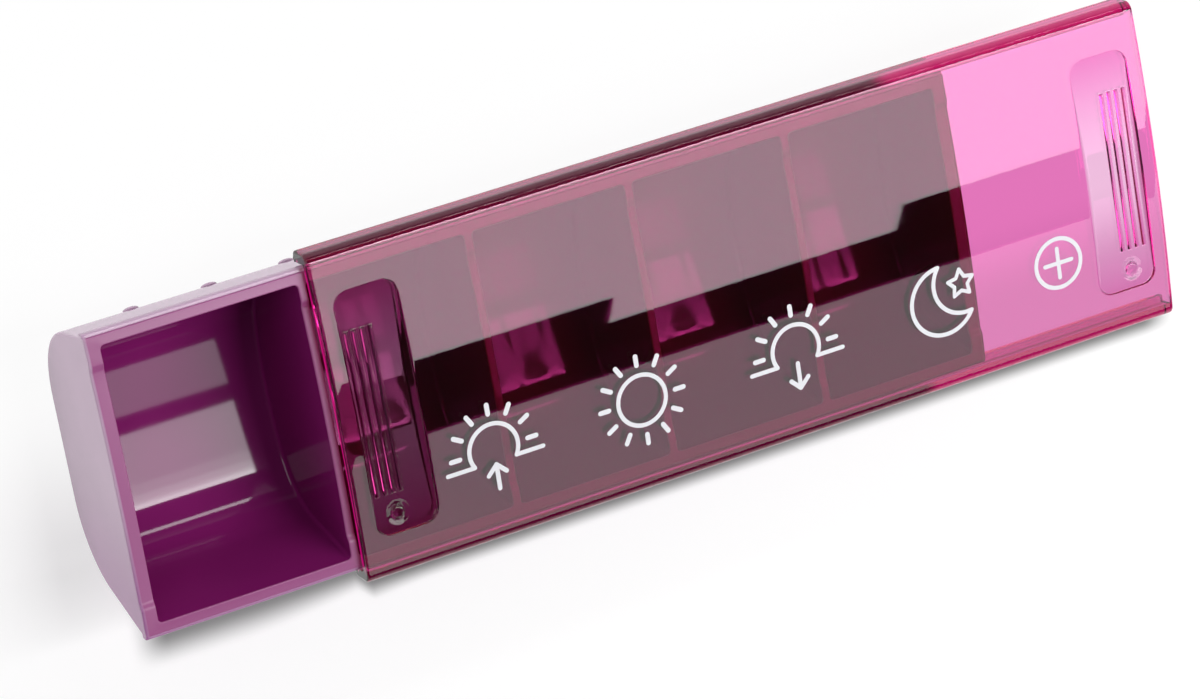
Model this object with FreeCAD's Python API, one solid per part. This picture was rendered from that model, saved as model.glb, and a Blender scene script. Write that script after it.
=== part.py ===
import FreeCAD, Part
import math
import os

# Pill organizer for one day. A tray holds five compartments in a row. A clear cover slides along
# the tray's two side flanges, opens it from either end and carries five printed signs, one for
# each time of day. X runs along the tray, Y from its steeper front wall to its back wall and Z up.
# The origin is the middle of the tray's flat underside, and the cover is drawn slid open towards
# +X, so that the first compartment is free. Millimetres and degrees.

# Whole object
overall_height = 22.0
crown_radius = 250.0
cover_opening = 31.34

# Tray, along its length
compartment_count = 5
first_compartment_length = 28.4
compartment_length = 23.15
divider_crest = 1.2
end_wall_crest = 2.1
divider_draft = 3.0
compartment_fillet = 0.6
tray_end_rounding = 0.5

# Tray, across its width
flange_half_width = 21.85
flange_overhang = 0.7
flange_thickness = 1.3
flange_edge_rounding = 0.25
rim_width = 2.0
ledge_width = 0.5
ledge_drop = 0.3
corner_rim_length = 4.25
rim_step_length = 1.3
rim_step_drop = 0.45
front_draft = 18.0
back_draft = 8.5
front_bottom_radius = 12.0
back_bottom_radius = 11.5
wall_thickness = 1.5
floor_hollow_radius = 46.0
floor_low_y = 1.7

# Row of raised dots low on the tray's back wall
dot_count = 3
first_dot_from_end = 11.1
dot_pitch = 11.4
dot_diameter = 2.3
dot_height = 0.45
dot_angle_up_rounding = 22.0

# Cover
cover_end_gap = 0.45
plate_thickness = 1.4
plate_gap = 0.15
side_gap = 0.35
cover_side_thickness = 1.5
hook_wall_gap = 0.2
hook_gap = 0.3
hook_thickness = 1.33
hook_lead_in = 0.8
hook_foot_rounding = 0.6
cover_top_rounding = 1.3
cover_inner_rounding = 0.4
cover_lip_rounding = 0.9
cover_end_rounding = 0.3

# Thumb grip sunk into each end of the cover, measured from that end, with a flat level floor
grip_near_edge = 2.4
grip_near_slope = 0.7
grip_ramp_start = 10.4
grip_far_edge = 11.8
grip_depth = 0.9
grip_half_width = 17.7
grip_side_slope = 0.6
grip_corner_radius = 2.2
rib_count = 4
first_rib_from_end = 3.5
rib_pitch = 1.2
rib_width = 0.5
rib_height = 0.35
rib_half_length = 11.9
stub_from_end = 6.0
stub_y = -14.9
stub_diameter = 1.9
stub_height = 0.2
stub_dish_diameter = 3.4
stub_dish_depth = 0.2

# Printed signs, each placed from the cover's front side and the middle of the compartment it names
sign_from_side = 13.45
sign_offsets = (5.2, 1.05, 0.95, 0.45, -4.85)
ink_thickness = 0.06
stroke_width = 0.62
sun_radius = 3.66
ray_width = 0.7
ray_inner_radius = 5.15
ray_outer_radius = 6.45
ray_spacing_angle = 30.0
horizon_below_sun = 1.83
horizon_end = 7.25
arrow_width = 0.66
rising_arrow_tip = -2.3
rising_arrow_tail = -5.85
setting_arrow_tip = -5.8
setting_arrow_tail = -2.1
arrow_head = 1.35
moon_radius = 5.05
moon_bite_radius = 4.75
moon_bite_x = 3.5
moon_bite_y = 2.08
star_x = 3.1
star_y = 1.78
star_outer_radius = 2.1
star_inner_radius = 1.1
star_stroke_width = 0.55
star_points = 5
plus_half_length = 2.2

# Heights and widths that follow from the sizes above
tray_length = (2 * end_wall_crest + first_compartment_length
               + (compartment_count - 1) * (divider_crest + compartment_length))
tray_left = -tray_length / 2
cover_length = tray_length - 2 * cover_end_gap
cover_left = tray_left + cover_end_gap + cover_opening
rim_radius = crown_radius - plate_thickness - plate_gap
band_half_width = flange_half_width - ledge_width
wall_half_width = flange_half_width - flange_overhang
cover_inner_half_width = flange_half_width + side_gap
cover_half_width = cover_inner_half_width + cover_side_thickness
hook_tip = wall_half_width + hook_wall_gap
sign_y = sign_from_side - cover_half_width
# How far cutting shapes run past what they cut, and how close two places count as one
spare = 1.0
slope_spare = 0.2
same_place = 0.01


def crown_height(radius, y):
    """Height at y of the crown that is concentric with the cover's top."""
    return overall_height - crown_radius + math.sqrt(radius ** 2 - y ** 2)


rim_height = crown_height(rim_radius, band_half_width)
ledge_height = rim_height - ledge_drop
flange_underside = ledge_height - flange_thickness
hook_top = flange_underside - hook_gap
lip_height = hook_top - hook_thickness


def section_point(y, z):
    return FreeCAD.Vector(0, y, z)


def straight(start, end):
    return Part.LineSegment(section_point(*start), section_point(*end)).toShape()


def curved(start, middle, end):
    return Part.Arc(section_point(*start), section_point(*middle), section_point(*end)).toShape()


def crown_arc(radius, y_start, y_end):
    """Arc of a crown between two places across the width."""
    y_middle = (y_start + y_end) / 2
    return curved((y_start, crown_height(radius, y_start)),
                  (y_middle, crown_height(radius, y_middle)),
                  (y_end, crown_height(radius, y_end)))


def swept_section(edges, x_start, length):
    """Solid with this cross-section, running along X."""
    face = Part.Face(Part.Wire(edges))
    face.translate(FreeCAD.Vector(x_start, 0, 0))
    return face.extrude(FreeCAD.Vector(length, 0, 0))


def outer_wall_edges(radius, draft, side):
    """One drafted outer wall and the rounding at its foot, from the flange down to the underside.

    side is 1 at the back, -1 in front. Also gives the place where the flat underside begins.
    """
    angle = math.radians(draft)
    foot = wall_half_width - flange_underside * math.tan(angle)
    tangent = radius * math.tan(math.radians((90 - draft) / 2))
    flat_end = foot - tangent
    wall_foot = (side * (foot + tangent * math.sin(angle)), tangent * math.cos(angle))
    middle_angle = math.radians((90 + draft) / 2)
    arc_middle = (side * (flat_end + radius * math.cos(middle_angle)),
                  radius - radius * math.sin(middle_angle))
    edges = [straight((side * wall_half_width, flange_underside), wall_foot),
             curved(wall_foot, arc_middle, (side * flat_end, 0))]
    return edges, side * flat_end


def outer_edges():
    """Front wall, flat underside and back wall of the tray's outline."""
    front, front_flat = outer_wall_edges(front_bottom_radius, front_draft, -1)
    back, back_flat = outer_wall_edges(back_bottom_radius, back_draft, 1)
    return front + [straight((front_flat, 0), (back_flat, 0))] + back


def inner_wall_edges(top, radius, draft, side):
    """One wall inside a compartment and the rounding between it and the hollow floor.

    Also gives the place where the rounding meets the floor.
    """
    angle = math.radians(draft)
    sine = math.sin(angle)
    cosine = math.cos(angle)
    half_width = flange_half_width - rim_width
    floor_centre = section_point(floor_low_y, wall_thickness + floor_hollow_radius)
    start = section_point(side * (half_width - radius * cosine), rim_height + radius * sine)
    down = section_point(-side * sine, -cosine)
    gap = start - floor_centre
    along = gap.dot(down)
    reach = floor_hollow_radius - radius
    centre = start + down * (math.sqrt(along ** 2 - gap.dot(gap) + reach ** 2) - along)
    to_wall = section_point(side * cosine, -sine)
    to_floor = (centre - floor_centre).normalize()
    between = (to_wall + to_floor).normalize()
    wall_top = (side * (half_width + (top - rim_height) * math.tan(angle)), top)
    wall_foot = centre + to_wall * radius
    arc_middle = centre + between * radius
    floor_start = centre + to_floor * radius
    edges = [straight(wall_top, (wall_foot.y, wall_foot.z)),
             curved((wall_foot.y, wall_foot.z), (arc_middle.y, arc_middle.z),
                    (floor_start.y, floor_start.z))]
    return edges, (floor_start.y, floor_start.z)


def inner_edges(top):
    """Front wall, hollow floor and back wall of a compartment's outline."""
    front, front_floor = inner_wall_edges(top, front_bottom_radius - wall_thickness,
                                          front_draft, -1)
    back, back_floor = inner_wall_edges(top, back_bottom_radius - wall_thickness,
                                        back_draft, 1)
    floor = curved(front_floor, (floor_low_y, wall_thickness), back_floor)
    return front + [floor] + back


def flange_edges(side):
    """The flange, ledge and raised rim band at one side, from the wall up to the band's top."""
    corners = [(side * wall_half_width, flange_underside),
               (side * flange_half_width, flange_underside),
               (side * flange_half_width, ledge_height),
               (side * band_half_width, ledge_height),
               (side * band_half_width, rim_height)]
    return [straight(start, end) for start, end in zip(corners, corners[1:])]


def rim_edges():
    """Crest of end walls and dividers: lower in the middle, with a short step near each side."""
    step_outside = flange_half_width - corner_rim_length
    step_inside = step_outside - rim_step_length
    middle_radius = rim_radius - rim_step_drop
    edges = [crown_arc(middle_radius, -step_inside, step_inside)]
    for side in (-1, 1):
        edges.append(straight((side * step_inside, crown_height(middle_radius, step_inside)),
                              (side * step_outside, crown_height(rim_radius, step_outside))))
        edges.append(crown_arc(rim_radius, side * step_outside, side * band_half_width))
    return edges


def long_edges(solid, y, z):
    """The edges along X that pass through this place of the cross-section."""
    found = []
    for edge in solid.Edges:
        middle = edge.CenterOfMass
        is_along = 1 - abs(edge.tangentAt(edge.FirstParameter).x) < same_place
        if is_along and abs(abs(middle.y) - y) < same_place and abs(middle.z - z) < same_place:
            found.append(edge)
    return found


def tray_blank():
    """The tray before its compartments are cut."""
    edges = outer_edges()
    edges += flange_edges(-1) + rim_edges() + flange_edges(1)
    blank = swept_section(Part.__sortEdges__(edges), tray_left, tray_length)
    flange_corners = (long_edges(blank, flange_half_width, flange_underside)
                      + long_edges(blank, flange_half_width, ledge_height))
    blank = blank.makeFillet(flange_edge_rounding, flange_corners)
    end_edges = []
    for edge in blank.Edges:
        middle = edge.CenterOfMass
        at_end = abs(abs(middle.x) - tray_length / 2) < same_place
        below_flange = edge.BoundBox.ZMax < flange_underside + same_place
        beside_flange = abs(middle.z - flange_underside) < same_place
        if at_end and below_flange and not beside_flange:
            end_edges.append(edge)
    return blank.makeFillet(tray_end_rounding, end_edges)


def dot(x):
    """One raised dot on the rounding at the foot of the back wall."""
    dot_radius = (dot_diameter ** 2 / 4 + dot_height ** 2) / (2 * dot_height)
    lean = math.tan(math.radians(back_draft))
    tangent = back_bottom_radius * math.tan(math.radians((90 - back_draft) / 2))
    centre_y = wall_half_width - flange_underside * lean - tangent
    reach = back_bottom_radius + dot_height - dot_radius
    angle = math.radians(dot_angle_up_rounding)
    centre = FreeCAD.Vector(x, centre_y + reach * math.cos(angle),
                            back_bottom_radius - reach * math.sin(angle))
    return Part.makeSphere(dot_radius, centre)


def divider_lean(z):
    """How much thicker an end wall or divider is on each side at a height, against its crest."""
    return (rim_height - z) * math.tan(math.radians(divider_draft))


def compartment(x_start, x_end):
    """The space of one compartment, with drafted end faces and a rounded foot all round."""
    top = overall_height + spare
    half_width = flange_half_width - rim_width
    rise = top - rim_height
    front_top = half_width + rise * math.tan(math.radians(front_draft))
    back_top = half_width + rise * math.tan(math.radians(back_draft))
    edges = inner_edges(top)
    edges.append(straight((-front_top, top), (back_top, top)))
    space = swept_section(Part.__sortEdges__(edges), x_start - spare, x_end - x_start + 2 * spare)
    corners = [(x_start + divider_lean(0), 0), (x_end - divider_lean(0), 0),
               (x_end - divider_lean(top), top), (x_start + divider_lean(top), top)]
    outline = Part.makePolygon([FreeCAD.Vector(x, -2 * flange_half_width, z)
                                for x, z in corners + corners[:1]])
    wedge = Part.Face(outline).extrude(FreeCAD.Vector(0, 4 * flange_half_width, 0))
    space = space.common(wedge)
    foot_edges = []
    for edge in space.Edges:
        middle = edge.CenterOfMass
        to_start = abs(middle.x - x_start - divider_lean(middle.z))
        to_end = abs(x_end - middle.x - divider_lean(middle.z))
        if min(to_start, to_end) < same_place and middle.z < top - same_place:
            foot_edges.append(edge)
    return space.makeFillet(compartment_fillet, foot_edges)


def compartment_places():
    """Start and end of each compartment along X, at the height of the rim."""
    places = []
    start = tray_left + end_wall_crest
    length = first_compartment_length
    for _ in range(compartment_count):
        places.append((start, start + length))
        start += length + divider_crest
        length = compartment_length
    return places


def tray():
    body = tray_blank()
    for index in range(dot_count):
        body = body.fuse(dot(tray_left + first_dot_from_end + index * dot_pitch))
    for x_start, x_end in compartment_places():
        body = body.cut(compartment(x_start, x_end))
    return body


def cover_channel():
    """The crowned plate with its two side walls and inward hooks."""
    inner_radius = crown_radius - plate_thickness
    edges = [crown_arc(crown_radius, -cover_half_width, cover_half_width),
             crown_arc(inner_radius, -cover_inner_half_width, cover_inner_half_width)]
    for side in (-1, 1):
        corners = [(side * cover_half_width, crown_height(crown_radius, cover_half_width)),
                   (side * cover_half_width, lip_height),
                   (side * hook_tip, lip_height),
                   (side * hook_tip, hook_top),
                   (side * cover_inner_half_width, hook_top),
                   (side * cover_inner_half_width, crown_height(inner_radius, cover_inner_half_width))]
        edges += [straight(start, end) for start, end in zip(corners, corners[1:])]
    channel = swept_section(Part.__sortEdges__(edges), cover_left, cover_length)
    top_corner = crown_height(crown_radius, cover_half_width)
    inner_corner = crown_height(inner_radius, cover_inner_half_width)
    channel = channel.makeFillet(cover_top_rounding, long_edges(channel, cover_half_width, top_corner))
    channel = channel.makeFillet(cover_inner_rounding,
                                 long_edges(channel, cover_inner_half_width, inner_corner))
    channel = channel.makeFillet(cover_lip_rounding, long_edges(channel, cover_half_width, lip_height))
    channel = channel.makeFillet(hook_foot_rounding, long_edges(channel, hook_tip, lip_height))
    end_edges = []
    for edge in channel.Edges:
        middle = edge.CenterOfMass
        from_middle = abs(middle.x - cover_left - cover_length / 2)
        at_end = abs(from_middle - cover_length / 2) < same_place
        outside = abs(middle.y) > cover_inner_half_width
        on_top = middle.z > crown_height(crown_radius, cover_inner_half_width) - same_place
        if at_end and (outside or on_top):
            end_edges.append(edge)
    return channel.makeFillet(cover_end_rounding, end_edges)


def hook_end_cut(side):
    """Lead-in that takes the corner off one hook at the cover's left end."""
    x_end = cover_left + hook_lead_in
    corners = [(cover_left - spare, hook_tip - spare),
               (cover_left - spare, hook_tip + hook_lead_in + spare),
               (x_end + spare, hook_tip - spare)]
    outline = Part.makePolygon([FreeCAD.Vector(x, side * y, lip_height - spare)
                                for x, y in corners + corners[:1]])
    height = hook_top - lip_height + spare
    return Part.Face(outline).extrude(FreeCAD.Vector(0, 0, height))


def crown_band(profile, half_width):
    """Solid of an outline of (x, depth) corners carried across the cover, parallel to its crown."""
    axis_place = FreeCAD.Vector(0, 0, overall_height - crown_radius)
    axis = FreeCAD.Vector(1, 0, 0)
    angle = math.degrees(math.asin(half_width / crown_radius))
    outline = Part.makePolygon([FreeCAD.Vector(x, 0, overall_height - depth)
                                for x, depth in profile + profile[:1]])
    face = Part.Face(outline)
    face.rotate(axis_place, axis, -angle)
    return face.revolve(axis_place, axis, 2 * angle)


def level_band(profile, half_width):
    """Solid of an outline of (x, depth) corners carried across the cover at one height."""
    outline = Part.makePolygon([FreeCAD.Vector(x, -half_width, overall_height - depth)
                                for x, depth in profile + profile[:1]])
    return Part.Face(outline).extrude(FreeCAD.Vector(0, 2 * half_width, 0))


def rounded_rectangle(x_start, x_end, half_width, radius, z):
    """Closed wire of a rectangle with round corners, level at height z."""
    corner = radius / math.sqrt(2)
    edges = []
    for x, direction in ((x_start, 1), (x_end, -1)):
        x_round = x + direction * radius
        edges.append(Part.LineSegment(FreeCAD.Vector(x, radius - half_width, z),
                                      FreeCAD.Vector(x, half_width - radius, z)).toShape())
        for side in (-1, 1):
            y_round = side * (half_width - radius)
            edges.append(Part.Arc(
                FreeCAD.Vector(x, y_round, z),
                FreeCAD.Vector(x_round - direction * corner, y_round + side * corner, z),
                FreeCAD.Vector(x_round, side * half_width, z)).toShape())
    for side in (-1, 1):
        edges.append(Part.LineSegment(FreeCAD.Vector(x_start + radius, side * half_width, z),
                                      FreeCAD.Vector(x_end - radius, side * half_width, z)).toShape())
    return Part.Wire(Part.__sortEdges__(edges))


def grip_space():
    """The hollow of the grip at the cover's left end."""
    near = cover_left + grip_near_edge
    far = cover_left + grip_far_edge
    near_lean = grip_near_slope / grip_depth
    far_lean = (grip_far_edge - grip_ramp_start) / grip_depth
    deepest = grip_depth + slope_spare
    slopes = [(near - slope_spare * near_lean, -slope_spare), (near + deepest * near_lean, deepest),
              (far - deepest * far_lean, deepest), (far + slope_spare * far_lean, -slope_spare)]
    over_floor = [(near - spare, -spare), (near - spare, grip_depth),
                  (far + spare, grip_depth), (far + spare, -spare)]
    reach = grip_half_width + spare
    hollow = crown_band(slopes, reach).common(level_band(over_floor, reach))
    rim = crown_height(crown_radius, grip_half_width)
    side_lean = grip_side_slope / grip_depth
    wires = []
    for z in (rim - 2 * grip_depth, overall_height + spare):
        half_width = grip_half_width + (z - rim) * side_lean
        wires.append(rounded_rectangle(near, far, half_width, grip_corner_radius, z))
    return hollow.common(Part.makeLoft(wires, True, True))


def grip_ribs():
    """The fine ribs on the floor of the grip at the cover's left end."""
    half = rib_width / 2
    rounded = rib_width / 4
    ribs = []
    for index in range(rib_count):
        x = cover_left + first_rib_from_end + index * rib_pitch
        root = grip_depth + rib_height / 2
        shoulder = grip_depth - rib_height + rounded
        crest = grip_depth - rib_height
        profile = [(x - half, root), (x - half, shoulder), (x - half + rounded, crest),
                   (x + half - rounded, crest), (x + half, shoulder), (x + half, root)]
        ribs.append(level_band(profile, rib_half_length))
    return ribs


def stub_place(depth):
    """Middle of the moulding stub in the left grip, at a depth under the crown's middle."""
    return FreeCAD.Vector(cover_left + stub_from_end, stub_y, overall_height - depth)


def stub_dish():
    """The shallow dish round the moulding stub."""
    dish_radius = (stub_dish_diameter ** 2 / 4 + stub_dish_depth ** 2) / (2 * stub_dish_depth)
    centre = stub_place(grip_depth) + FreeCAD.Vector(0, 0, dish_radius - stub_dish_depth)
    return Part.makeSphere(dish_radius, centre)


def stub():
    """The round moulding stub that stands in the dish."""
    foot = stub_place(grip_depth) - FreeCAD.Vector(0, 0, stub_dish_depth + stub_height / 2)
    height = stub_dish_depth + 1.5 * stub_height
    return Part.makeCylinder(stub_diameter / 2, height, foot)


def sliding_cover():
    middle = FreeCAD.Vector(cover_left + cover_length / 2, 0, 0)
    lengthwise = FreeCAD.Vector(1, 0, 0)
    cuts = [hook_end_cut(-1), hook_end_cut(1), grip_space(), stub_dish()]
    additions = grip_ribs() + [stub()]
    body = cover_channel()
    for shape in cuts:
        body = body.cut(shape)
        body = body.cut(shape.mirror(middle, lengthwise))
    for shape in additions:
        body = body.fuse(shape)
        body = body.fuse(shape.mirror(middle, lengthwise))
    return body


def sign_solid(edges):
    """Flat prism of a closed outline, tall enough to reach through the ink layer."""
    face = Part.Face(Part.Wire(Part.__sortEdges__(edges)))
    return face.extrude(FreeCAD.Vector(0, 0, 2 * overall_height))


def flat_point(x, y):
    return FreeCAD.Vector(x, y, 0)


def polar_point(radius, angle, x=0, y=0):
    return flat_point(x + radius * math.cos(math.radians(angle)),
                      y + radius * math.sin(math.radians(angle)))


def bar(start, end, width):
    """Straight stroke with round ends."""
    direction = (end - start).normalize()
    across = FreeCAD.Vector(-direction.y, direction.x, 0) * (width / 2)
    ahead = direction * (width / 2)
    return sign_solid([Part.LineSegment(start + across, end + across).toShape(),
                       Part.Arc(end + across, end + ahead, end - across).toShape(),
                       Part.LineSegment(end - across, start - across).toShape(),
                       Part.Arc(start - across, start - ahead, start + across).toShape()])


def ring(radius, width):
    outer = Part.makeCylinder(radius + width / 2, 2 * overall_height)
    return outer.cut(Part.makeCylinder(radius - width / 2, 2 * overall_height))


def bow(radius, start_angle, end_angle, width, x=0, y=0):
    """Stroke along an arc, with round ends."""
    half = width / 2
    middle_angle = (start_angle + end_angle) / 2
    edges = []
    for edge_radius in (radius - half, radius + half):
        edges.append(Part.Arc(polar_point(edge_radius, start_angle, x, y),
                              polar_point(edge_radius, middle_angle, x, y),
                              polar_point(edge_radius, end_angle, x, y)).toShape())
    for angle, outwards in ((start_angle, -90), (end_angle, 90)):
        end = polar_point(radius, angle, x, y)
        edges.append(Part.Arc(polar_point(radius - half, angle, x, y),
                              polar_point(half, angle + outwards, end.x, end.y),
                              polar_point(radius + half, angle, x, y)).toShape())
    return sign_solid(edges)


def rays(first_angle, count):
    strokes = []
    for index in range(count):
        angle = first_angle + index * ray_spacing_angle
        strokes.append(bar(polar_point(ray_inner_radius, angle),
                           polar_point(ray_outer_radius, angle), ray_width))
    return strokes


def arrow(tip, tail, back):
    """Upright arrow; back is 1 where its head opens upwards and -1 where it opens downwards."""
    strokes = [bar(flat_point(0, tail), flat_point(0, tip), arrow_width)]
    for side in (-1, 1):
        strokes.append(bar(flat_point(side * arrow_head, tip + back * arrow_head),
                           flat_point(0, tip), arrow_width))
    return strokes


def low_sun():
    """A sun that stands on the horizon, with the horizon's two lines and the rays above."""
    dip = math.degrees(math.asin(horizon_below_sun / sun_radius))
    meeting = polar_point(sun_radius, -dip)
    strokes = [bow(sun_radius, -dip, 180 + dip, stroke_width)]
    for side in (-1, 1):
        strokes.append(bar(flat_point(side * meeting.x, meeting.y),
                           flat_point(side * horizon_end, meeting.y), stroke_width))
    half_turn = 180.0
    return strokes + rays(0, int(half_turn / ray_spacing_angle) + 1)


def sunrise_sign():
    return low_sun() + arrow(rising_arrow_tip, rising_arrow_tail, -1)


def sun_sign():
    full_turn = 360.0
    return [ring(sun_radius, stroke_width)] + rays(0, int(full_turn / ray_spacing_angle))


def sunset_sign():
    return low_sun() + arrow(setting_arrow_tip, setting_arrow_tail, 1)


def moon_sign():
    """Outlines of a crescent moon and of a star beside it."""
    distance = math.hypot(moon_bite_x, moon_bite_y)
    towards = math.degrees(math.atan2(moon_bite_y, moon_bite_x))
    along = (moon_radius ** 2 - moon_bite_radius ** 2 + distance ** 2) / (2 * distance)
    outer_half = math.degrees(math.acos(along / moon_radius))
    bite_half = math.degrees(math.acos((distance - along) / moon_bite_radius))
    strokes = [bow(moon_radius, towards + outer_half, towards + 360 - outer_half, stroke_width),
               bow(moon_bite_radius, towards + 180 - bite_half, towards + 180 + bite_half,
                   stroke_width, moon_bite_x, moon_bite_y)]
    corners = []
    for index in range(2 * star_points + 1):
        radius = star_outer_radius if index % 2 == 0 else star_inner_radius
        corners.append(polar_point(radius, 90 + index * 180 / star_points, star_x, star_y))
    for start, end in zip(corners, corners[1:]):
        strokes.append(bar(start, end, star_stroke_width))
    return strokes


def plus_sign():
    strokes = [ring(sun_radius, stroke_width)]
    for end in (flat_point(plus_half_length, 0), flat_point(0, plus_half_length)):
        strokes.append(bar(end * -1, end, stroke_width))
    return strokes


def ink_layer():
    """The thin layer on the cover's crown that the signs are printed in."""
    start = FreeCAD.Vector(cover_left, 0, overall_height - crown_radius)
    lengthwise = FreeCAD.Vector(1, 0, 0)
    outer = Part.makeCylinder(crown_radius + ink_thickness, cover_length, start, lengthwise)
    layer = outer.cut(Part.makeCylinder(crown_radius, cover_length, start, lengthwise))
    keep = Part.makeBox(cover_length, 2 * cover_half_width, overall_height,
                        FreeCAD.Vector(cover_left, -cover_half_width, overall_height / 2))
    return layer.common(keep)


def printed_sign(strokes, x, layer):
    """A sign's strokes, joined where they meet and laid on the cover's crown."""
    flat = strokes[0].fuse(strokes[1:]).removeSplitter()
    flat.translate(FreeCAD.Vector(x, sign_y, 0))
    return flat.common(layer)


def save(name, shape):
    shape.exportStep("parts/" + name + ".step")
    print(name, "solids", len(shape.Solids), "volume", round(shape.Volume, 3),
          "valid", shape.isValid())


def main():
    os.makedirs("parts", exist_ok=True)
    save("tray", tray())
    save("sliding_cover", sliding_cover())
    layer = ink_layer()
    signs = (("sunrise_print", sunrise_sign), ("sun_print", sun_sign),
             ("sunset_print", sunset_sign), ("moon_print", moon_sign), ("plus_print", plus_sign))
    for (name, strokes), offset, place in zip(signs, sign_offsets, compartment_places()):
        x = sum(place) / 2 + cover_opening + offset
        save(name, printed_sign(strokes(), x, layer))


main()
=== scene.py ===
import math

import bmesh
import bpy
from bpy.props import FloatProperty, FloatVectorProperty, IntProperty, PointerProperty
from mathutils import Matrix, Vector


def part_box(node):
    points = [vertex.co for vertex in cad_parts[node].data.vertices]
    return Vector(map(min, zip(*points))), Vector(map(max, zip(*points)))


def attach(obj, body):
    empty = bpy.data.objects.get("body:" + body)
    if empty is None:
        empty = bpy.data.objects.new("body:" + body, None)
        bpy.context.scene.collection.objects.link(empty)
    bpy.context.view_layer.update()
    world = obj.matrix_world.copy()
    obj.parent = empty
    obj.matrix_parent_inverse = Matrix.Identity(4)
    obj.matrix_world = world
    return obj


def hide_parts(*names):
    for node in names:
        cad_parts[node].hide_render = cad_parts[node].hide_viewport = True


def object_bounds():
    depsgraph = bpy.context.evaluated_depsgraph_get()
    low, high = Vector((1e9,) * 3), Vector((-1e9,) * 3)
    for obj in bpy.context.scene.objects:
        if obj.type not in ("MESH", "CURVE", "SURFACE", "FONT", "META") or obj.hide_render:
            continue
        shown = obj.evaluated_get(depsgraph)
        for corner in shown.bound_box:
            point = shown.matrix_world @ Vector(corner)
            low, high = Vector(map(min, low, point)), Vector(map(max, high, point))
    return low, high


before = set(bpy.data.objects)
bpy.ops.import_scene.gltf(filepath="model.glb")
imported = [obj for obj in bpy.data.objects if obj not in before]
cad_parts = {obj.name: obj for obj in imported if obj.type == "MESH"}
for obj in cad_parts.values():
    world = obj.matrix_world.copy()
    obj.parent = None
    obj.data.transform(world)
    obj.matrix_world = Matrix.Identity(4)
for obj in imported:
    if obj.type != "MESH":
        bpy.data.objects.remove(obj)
cad_low, cad_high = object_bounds()

bl_info = {
    "name": "Daily pill organizer",
    "version": (1, 0, 0),
    "blender": (4, 5, 0),
    "location": "View3D > Sidebar > Pill organizer",
    "description": "Builds the tray, the clear sliding cover, its printed signs and a plain studio",
    "category": "Add Mesh",
}

# All sizes are in metres, and MM turns a size given in millimetres into metres.
MM = 0.001
TRAY_LOW, TRAY_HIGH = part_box("tray")
COVER_LOW, COVER_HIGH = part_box("sliding_cover")
PRINTS = ("sunrise_print", "sun_print", "sunset_print", "moon_print", "plus_print")
QUARTER_TURN = math.pi / 2
FULL_TURN = 2 * math.pi
# Marks on the vertices: the cover's top, and the zone of a place on the tray, which sets its
# roughness and its painted shade or sheen. On the cover the second one gives the cut ends a painted
# glow.
TOP_ATTRIBUTE = "on_top"
ZONE_ATTRIBUTE = "finish_and_painted_light_zone"
ZONE_DEEP, ZONE_RIM, ZONE_SKIN = 0.0, 0.5, 1.0
# Small shapes that are the same all round the tray
RIM_EDGE = 0.15 * MM
END_RUN = 0.5 * MM
SAME_PLACE = 0.001 * MM
# Rows of vertices round a corner of a compartment
CORNER_ROWS = 6
# Rounding at the cover's ends of all edges but the outer ones
INNER_END_ROUNDING = 0.08 * MM


def length(name, description, millimetres):
    """A size that a user may change, given here in millimetres."""
    return FloatProperty(name=name, description=description, default=millimetres * MM,
                         min=0.0, precision=5, unit="LENGTH")


def angle(name, description, degrees):
    """An angle that a user may change, given here in degrees."""
    return FloatProperty(name=name, description=description, default=math.radians(degrees),
                         subtype="ANGLE")


def share(name, description, value):
    """A value from 0 to 1 that a user may change."""
    return FloatProperty(name=name, description=description, default=value, min=0.0, max=1.0,
                         subtype="FACTOR")


def colour(name, description, value):
    """A colour that a user may change."""
    return FloatVectorProperty(name=name, description=description, default=value, min=0.0,
                               max=1.0, size=3, subtype="COLOR")


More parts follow.
